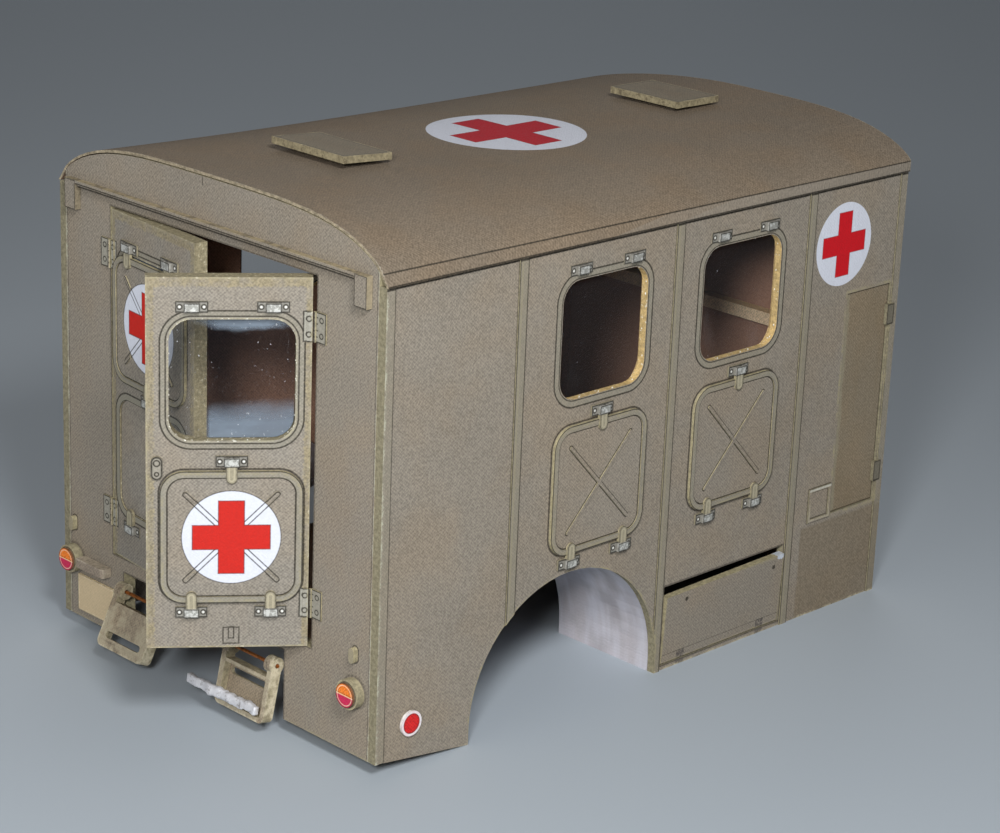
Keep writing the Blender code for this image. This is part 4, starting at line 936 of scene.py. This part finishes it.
def dress_lamps():
    for label in LAMP_Y:
        centre = (LAMP_Y[label], LAMP_Z)
        card = Card("lamp_case_" + label, LAMP_OLIVE, flat="yz", out=("x", -1))
        ring = from_disc(card.spot, centre, LAMP_RADIUS)
        card.ink(line(ring, 0.18) * card.front.rise(0.5, 0.7), strength=0.8)
        card.wear(ring - 0.35, 0.3, 0.8, LAMP_WORN)
        card.edges(LAMP_EDGE)
        card.done("tail_lamp_housing_" + label)

        card = Card("printed_lens_" + label, LENS_ORANGE, flat="yz", out=("x", -1))
        z = card.spot[1]
        card.paint(z.rise(LAMP_Z + 0.05, LAMP_Z - 0.05), LENS_PINK)
        ring = from_disc(card.spot, centre, LENS_RADIUS)
        card.ink(line(z - LAMP_Z, 0.14, 0.04), LENS_MIDDLE, 0.9)
        card.ink(line(z - LAMP_Z - 0.18, 0.08, 0.04), strength=0.6)
        # Pale thin ring inside the lens rim: a painted highlight
        card.ink(line(ring + 0.3, 0.12, 0.04), LENS_HIGHLIGHT_RING, 0.8)
        card.ink(line(ring, 0.2, 0.06), strength=0.9)
        card.edges(LENS_EDGE)
        card.rough = 0.35 + card.fleck * 0.1
        card.done("tail_lamp_lens_" + label)


def dress_reflectors():
    for label, side in SIDES:
        card = Card("printed_reflector_" + label, REFLECTOR_RED, out=("y", side))
        ring = from_disc(card.spot, REFLECTOR_CENTRE, REFLECTOR_RADIUS)
        card.ink(within(abs(ring + 0.14) - 0.22), REFLECTOR_RING)
        card.ink(line(ring + 0.44, 0.12, 0.04), strength=0.8)
        card.edges(REFLECTOR_EDGE)
        card.rough = 0.35 + card.fleck * 0.1
        card.done("side_reflector_" + label)


def dress_plate():
    card = Card("blank_plate", PLATE_CREAM, flat="yz", out=("x", -1), grain=0.3)
    rim = from_rectangle(card.spot, PLATE_CENTRE, PLATE_SIZE)
    card.wear(rim, 0.35, 0.8, PLATE_WORN)
    card.ink(line(rim + 0.02, 0.14), strength=0.5)
    card.edges(PLATE_EDGE)
    card.done("number_plate")

    card = Card("printed_lamp_bar", LAMP_BAR_OLIVE, flat="yz", out=("x", -1))
    card.wear(card.spot[1] - LAMP_BAR_TOP_Z, 0.3, 0.9, LAMP_BAR_WORN)
    card.edges(LAMP_BAR_EDGE)
    card.done("plate_lamp_bar")


def dress_inside():
    # Linings in darkened card: painted shade of the closed interior
    card = Card("inner_card", INNER_CARD_SHADED, out=("y", 1))
    card.edges(RAW_CARD, strength=0.8)
    card.done("side_lining_right", "side_lining_left")

    card = Card("inner_brace", BRACE_CARD, flat="yz", out=("x", -1))
    card.edges(RAW_CARD, strength=0.5)
    card.done("front_brace")

    card = Card("inner_floor", FLOOR_CARD, flat="xy", out=("z", 1))
    card.edges(RAW_CARD)
    card.done("floor_panel")

    card = Card("grey_liner", LINER_LILAC, out=("y", 1), grain=0.15)
    f = card.finish
    streaks = card.noise(0.5, roughness=0.5, stretch=(0.6, 1.0, 0.14)).rise(0.35, 0.70)
    smudge = card.noise(0.16, 3.0, 0.5).rise(0.48, 0.74)
    card.colour = f.over(card.colour, LINER_STREAK, streaks * 0.35)
    card.colour = f.over(card.colour, LINER_SMUDGE, smudge * 0.45)
    card.done("wheel_arch_liner_right", "wheel_arch_liner_left")


def dress_side_film():
    """Clear film in the side windows, with specks and faint smears."""
    f = Finish("clear_film")
    point = f.place()
    speck = f.noise(point, 2.6, 2.0, 0.6).rise(0.72, 0.80)
    smear = f.noise(point, 0.22, 3.0, 0.6, (1.0, 1.0, 0.5)).rise(0.55, 0.80)
    f.set(Base_Color=FILM_CLEAR, Roughness=0.08 + smear * 0.3,
          Alpha=0.008 + smear * 0.015 + speck * 0.5)
    for name in NODES:
        if name.startswith("window_pane"):
            dress(NODES[name], f.material)


def dress_leaf_film():
    """Clear film in the doors, with a bluish painted reflection at its top and foot."""
    for label, side, jamb, rest, _ in LEAVES:
        f = Finish("clear_door_film_" + label)
        point = f.place(*leaf_place(side, jamb, rest))
        _, across, z = f.parts(point)
        across = abs(across)
        wobble = f.noise(point, 0.25) - 0.5
        top = length((across - 8.4) * 0.22, z - 60.4 + wobble * 1.6).rise(1.9, 0.7)
        foot = (z + across * 0.08 + wobble * 1.5).rise(50.2, 46.4) * across.rise(13.9, 13.2)
        speck = f.noise(point, 2.6, 2.0, 0.6).rise(0.68, 0.78)
        streak = f.noise(point, 0.5, 3.0, 0.6, (1.0, 0.35, 1.0)).rise(0.35, 0.70)
        # Bluish bands at the film's top and foot: a painted reflection of the surroundings
        painted_reflection = top.at_least(foot) * (0.62 + streak * 0.2)
        f.set(Base_Color=f.over(FILM_REFLECTION_BLUE, FILM_SPECK, speck), Roughness=0.10 + painted_reflection * 0.4,
              Alpha=(0.01 + painted_reflection).at_least(speck * 0.45))
        dress(NODES["door_pane_" + label], f.material)


def dress_steps():
    origin = (REAR_X + WIRE_PLACE[0] * MM, 0, WIRE_PLACE[1] * MM)
    for label, rest, middle in STEPS:
        card = Card("printed_step_" + label, STEP_OLIVE, origin, (0, rest, 0), flat="yz",
                    out=("x", -1))
        rim = from_rectangle(card.spot, (middle, STEP_Z), STEP_SIZE, STEP_ROUND)
        card.ink(line(rim + 0.9, 0.2), strength=0.4)
        card.edges(STEP_EDGE)
        card.wear(rim, 0.35, 1.0, STEP_WORN)
        card.wear(abs(card.depth) - STEP_HALF_THICKNESS, 0.2, 0.6, STEP_CORNER_WORN)
        card.done("step_" + label)

    f = Finish("copper_wire")
    dull = f.noise(f.place(), 0.8, 3.0, 0.6)
    colour = f.over(COPPER, COPPER_DULL, dull.rise(0.4, 0.7))
    f.set(Base_Color=colour, Roughness=0.22 + dull * 0.3, Metallic=0.9,
          Normal=f.bump(dull, FINE_RELIEF))
    dress(NODES["step_wire"], f.material)


def make_piece(name, bm, material, body):
    """Turn a finished bmesh into a piece that rides on a body."""
    bmesh.ops.recalc_face_normals(bm, faces=bm.faces)
    mesh = bpy.data.meshes.new(name)
    bm.to_mesh(mesh)
    bm.free()
    mesh.shade_smooth()
    mesh.set_sharp_from_angle(angle=math.radians(50))
    piece = bpy.data.objects.new(name, mesh)
    bpy.context.scene.collection.objects.link(piece)
    mesh.materials.append(material)
    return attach(piece, body)


def silver_finish():
    f = Finish("crumpled_silver")
    point = f.place()
    crease = f.noise(point, 1.5, 4.0, 0.7)
    dirt = f.noise(point, 0.9, 3.0, 0.7).rise(0.50, 0.68)
    colour = f.over(f.scaled(SILVER, 0.8 + crease * 0.4), SILVER_DIRT, dirt * 0.7)
    f.set(Base_Color=colour, Roughness=0.35 + crease * 0.3, Metallic=0.25,
          Normal=f.bump(crease, 0.00008))
    return f.material


def make_tread():
    """The torn silver strip glued across the right step, crumpled by hand."""
    size = TREAD_HIGH - TREAD_LOW
    bm = bmesh.new()
    bmesh.ops.create_cube(bm, size=1.0)
    bmesh.ops.scale(bm, vec=size, verts=bm.verts)
    bmesh.ops.bevel(bm, geom=bm.edges[:], affect="EDGES", offset=TREAD_ROUND, segments=2,
                    profile=0.5, material=-1)
    for place in range(1, TREAD_SLICES):
        cut = (place / TREAD_SLICES - 0.5) * size.y
        bmesh.ops.bisect_plane(bm, geom=bm.verts[:] + bm.edges[:] + bm.faces[:], dist=0.0001,
                               plane_co=(0, cut, 0), plane_no=(0, 1, 0))
    bmesh.ops.translate(bm, vec=(TREAD_LOW + TREAD_HIGH) / 2, verts=bm.verts)
    bmesh.ops.recalc_face_normals(bm, faces=bm.faces)
    bm.normal_update()
    for vert in bm.verts:
        spread = noise.noise(vert.co * 0.9) * 0.22 + noise.noise(vert.co * 2.6) * 0.12
        sag = noise.noise(Vector((0, vert.co.y * 0.35, 0))) * 0.25
        vert.co += vert.normal * spread + Vector((0, 0, sag))
    for vert in bm.verts:
        share = max(0.0, 1.0 - (vert.co - TREAD_LUMP).length / TREAD_LUMP_REACH)
        vert.co += vert.normal * share * 0.45
    place = (Matrix.Translation((REAR_X / MM + WIRE_PLACE[0], 0, WIRE_PLACE[1]))
             @ Matrix.Rotation(RIGHT_STEP_REST, 4, "Y"))
    bmesh.ops.transform(bm, matrix=Matrix.Scale(MM, 4) @ place, verts=bm.verts)
    piece = make_piece("silver_tread", bm, silver_finish(), "right_step")
    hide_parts("step_tread")


def window_edge(share, centre, size, radius):
    """A point on a rounded rectangle, its share of the way round."""
    half_a, half_b = size[0] / 2 - radius, size[1] / 2 - radius
    straight = (2 * half_a, math.pi / 2 * radius, 2 * half_b, math.pi / 2 * radius) * 2
    left = share * sum(straight)
    corner, heading = Vector((-half_a, -half_b - radius)), 0.0
    for stretch, reach in enumerate(straight):
        ahead = Vector((math.cos(heading), math.sin(heading)))
        aside = Vector((-ahead.y, ahead.x))
        run = min(left, reach)
        if stretch % 2:
            angle = run / radius
            corner += radius * (ahead * math.sin(angle) + aside * (1 - math.cos(angle)))
            heading += angle
        else:
            corner += ahead * run
        left -= run
        if left <= 0:
            break
    return Vector(centre) + corner


def add_bead(bm, place, radius, stretch):
    """One drop, pushed out of round as it dried."""
    middle = place * MM
    shape = Matrix.Translation(middle) @ Matrix.Diagonal((*stretch, 1.0))
    made = bmesh.ops.create_icosphere(bm, subdivisions=2, radius=radius * MM, matrix=shape)
    for vert in made["verts"]:
        vert.co += (vert.co - middle) * noise.noise(vert.co / MM * 6.0) * 0.6


def glue_finish():
    f = Finish("dried_glue")
    milky = f.noise(f.place(), 1.8, 3.0, 0.6)
    f.set(Base_Color=f.scaled(GLUE_WHITE, 0.75 + milky * 0.4), Roughness=0.2 + milky * 0.25,
          Normal=f.bump(milky, 0.00003), Coat_Weight=0.3)
    return f.material


def make_glue_beads():
    """Dried glue along the edges of the film, in the window openings."""
    material = glue_finish()
    for label, side in SIDES:
        bm = bmesh.new()
        for window, centre_x in enumerate(WINDOW_X):
            for bead in range(SIDE_BEADS):
                jitter = noise.noise(Vector((bead * 1.7, window * 3.1, side * 2.3)))
                share = (bead + 0.5 + jitter * BEAD_DRIFT) / SIDE_BEADS
                a, b = window_edge(share % 1.0, (centre_x, WINDOW_Z), WINDOW_SIZE, WINDOW_ROUND)
                sunk = 0.8 * abs(noise.noise(Vector((bead * 0.9, 5.0, window))))
                place = Vector((REAR_X / MM + a, side * (HALF_WIDTH - 0.25 - sunk), b))
                add_bead(bm, place, 0.09 + 0.10 * abs(jitter), (1.0, 0.6, 1.5))
        make_piece("glue_beads_" + label, bm, material, "body")
    for label, side, jamb, rest, _ in LEAVES:
        bm = bmesh.new()
        turn = (Matrix.Translation((REAR_X / MM + LEAF_AXIS_X, jamb, 0))
                @ Matrix.Rotation(-side * rest, 4, "Z"))
        centre = (-side * LEAF_MIDDLE, LEAF_WINDOW_Z)
        for bead in range(LEAF_BEADS):
            jitter = noise.noise(Vector((bead * 1.3, 7.7, side * 1.9)))
            share = (bead + 0.5 + jitter * BEAD_DRIFT) / LEAF_BEADS
            a, b = window_edge(share % 1.0, centre, LEAF_WINDOW_SIZE, WINDOW_ROUND)
            place = turn @ Vector((0.45 + 0.7 * abs(jitter), a, b))
            add_bead(bm, place, 0.08 + 0.09 * abs(jitter), (0.7, 1.2, 1.0))
        make_piece("glue_beads_leaf_" + label, bm, material, label + "_door")


def set_camera():
    """The photographed view: low over the right rear corner, rolled slightly."""
    back = Vector(CAMERA_BACK).normalized()
    level = (-back).cross(Vector((0, 0, 1))).normalized()
    upright = level.cross(-back).normalized()
    across = level * math.cos(CAMERA_ROLL) + upright * math.sin(CAMERA_ROLL)
    up = upright * math.cos(CAMERA_ROLL) - level * math.sin(CAMERA_ROLL)
    data = bpy.data.cameras.new("camera")
    data.lens = CAMERA_LENS
    data.sensor_width = SENSOR_WIDTH
    data.clip_start = CAMERA_CLIP_START
    camera = bpy.data.objects.new("camera", data)
    turn = Matrix((across, up, back)).transposed().to_4x4()
    camera.matrix_world = Matrix.Translation(CAMERA_PLACE) @ turn
    bpy.context.scene.collection.objects.link(camera)
    bpy.context.scene.camera = camera


def set_table():
    bm = bmesh.new()
    bmesh.ops.create_grid(bm, x_segments=8, y_segments=8, size=TABLE_SIZE)
    mesh = bpy.data.meshes.new("table")
    bm.to_mesh(mesh)
    bm.free()
    table = bpy.data.objects.new("table", mesh)
    bpy.context.scene.collection.objects.link(table)
    f = Finish("pale_table")
    soft = f.noise(f.place(), 0.004)
    f.set(Base_Color=f.scaled(TABLE_GREY, 0.96 + soft * 0.08), Roughness=0.55)
    dress(table, f.material)


def set_lamps():
    """A key lamp over the right rear corner, softer ones beside it, and a dim world."""
    world = bpy.data.worlds.new("studio")
    world.use_nodes = True
    background = world.node_tree.nodes["Background"]
    background.inputs["Color"].default_value = WORLD_COLOUR
    background.inputs["Strength"].default_value = WORLD_STRENGTH
    bpy.context.scene.world = world
    for name, place, size, power in LAMPS:
        data = bpy.data.lights.new(name, "AREA")
        data.shape = "DISK"
        data.size = size
        data.energy = power
        lamp = bpy.data.objects.new(name, data)
        lamp.location = place
        lamp.rotation_mode = "QUATERNION"
        lamp.rotation_quaternion = (LAMP_AIM - Vector(place)).to_track_quat("-Z", "Y")
        bpy.context.scene.collection.objects.link(lamp)


dress_side_walls()
dress_side_shutters()
dress_hatches()
dress_flaps()
dress_rear_wall()
dress_front_wall()
dress_leaves()
dress_leaf_shutters()
dress_roof()
dress_vents()
dress_rail()
dress_lamps()
dress_reflectors()
dress_plate()
dress_inside()
dress_side_film()
dress_leaf_film()
dress_steps()
make_tread()
make_glue_beads()
set_camera()
set_table()
set_lamps()
bpy.context.scene.view_settings.view_transform = "Standard"
bpy.context.view_layer.update()
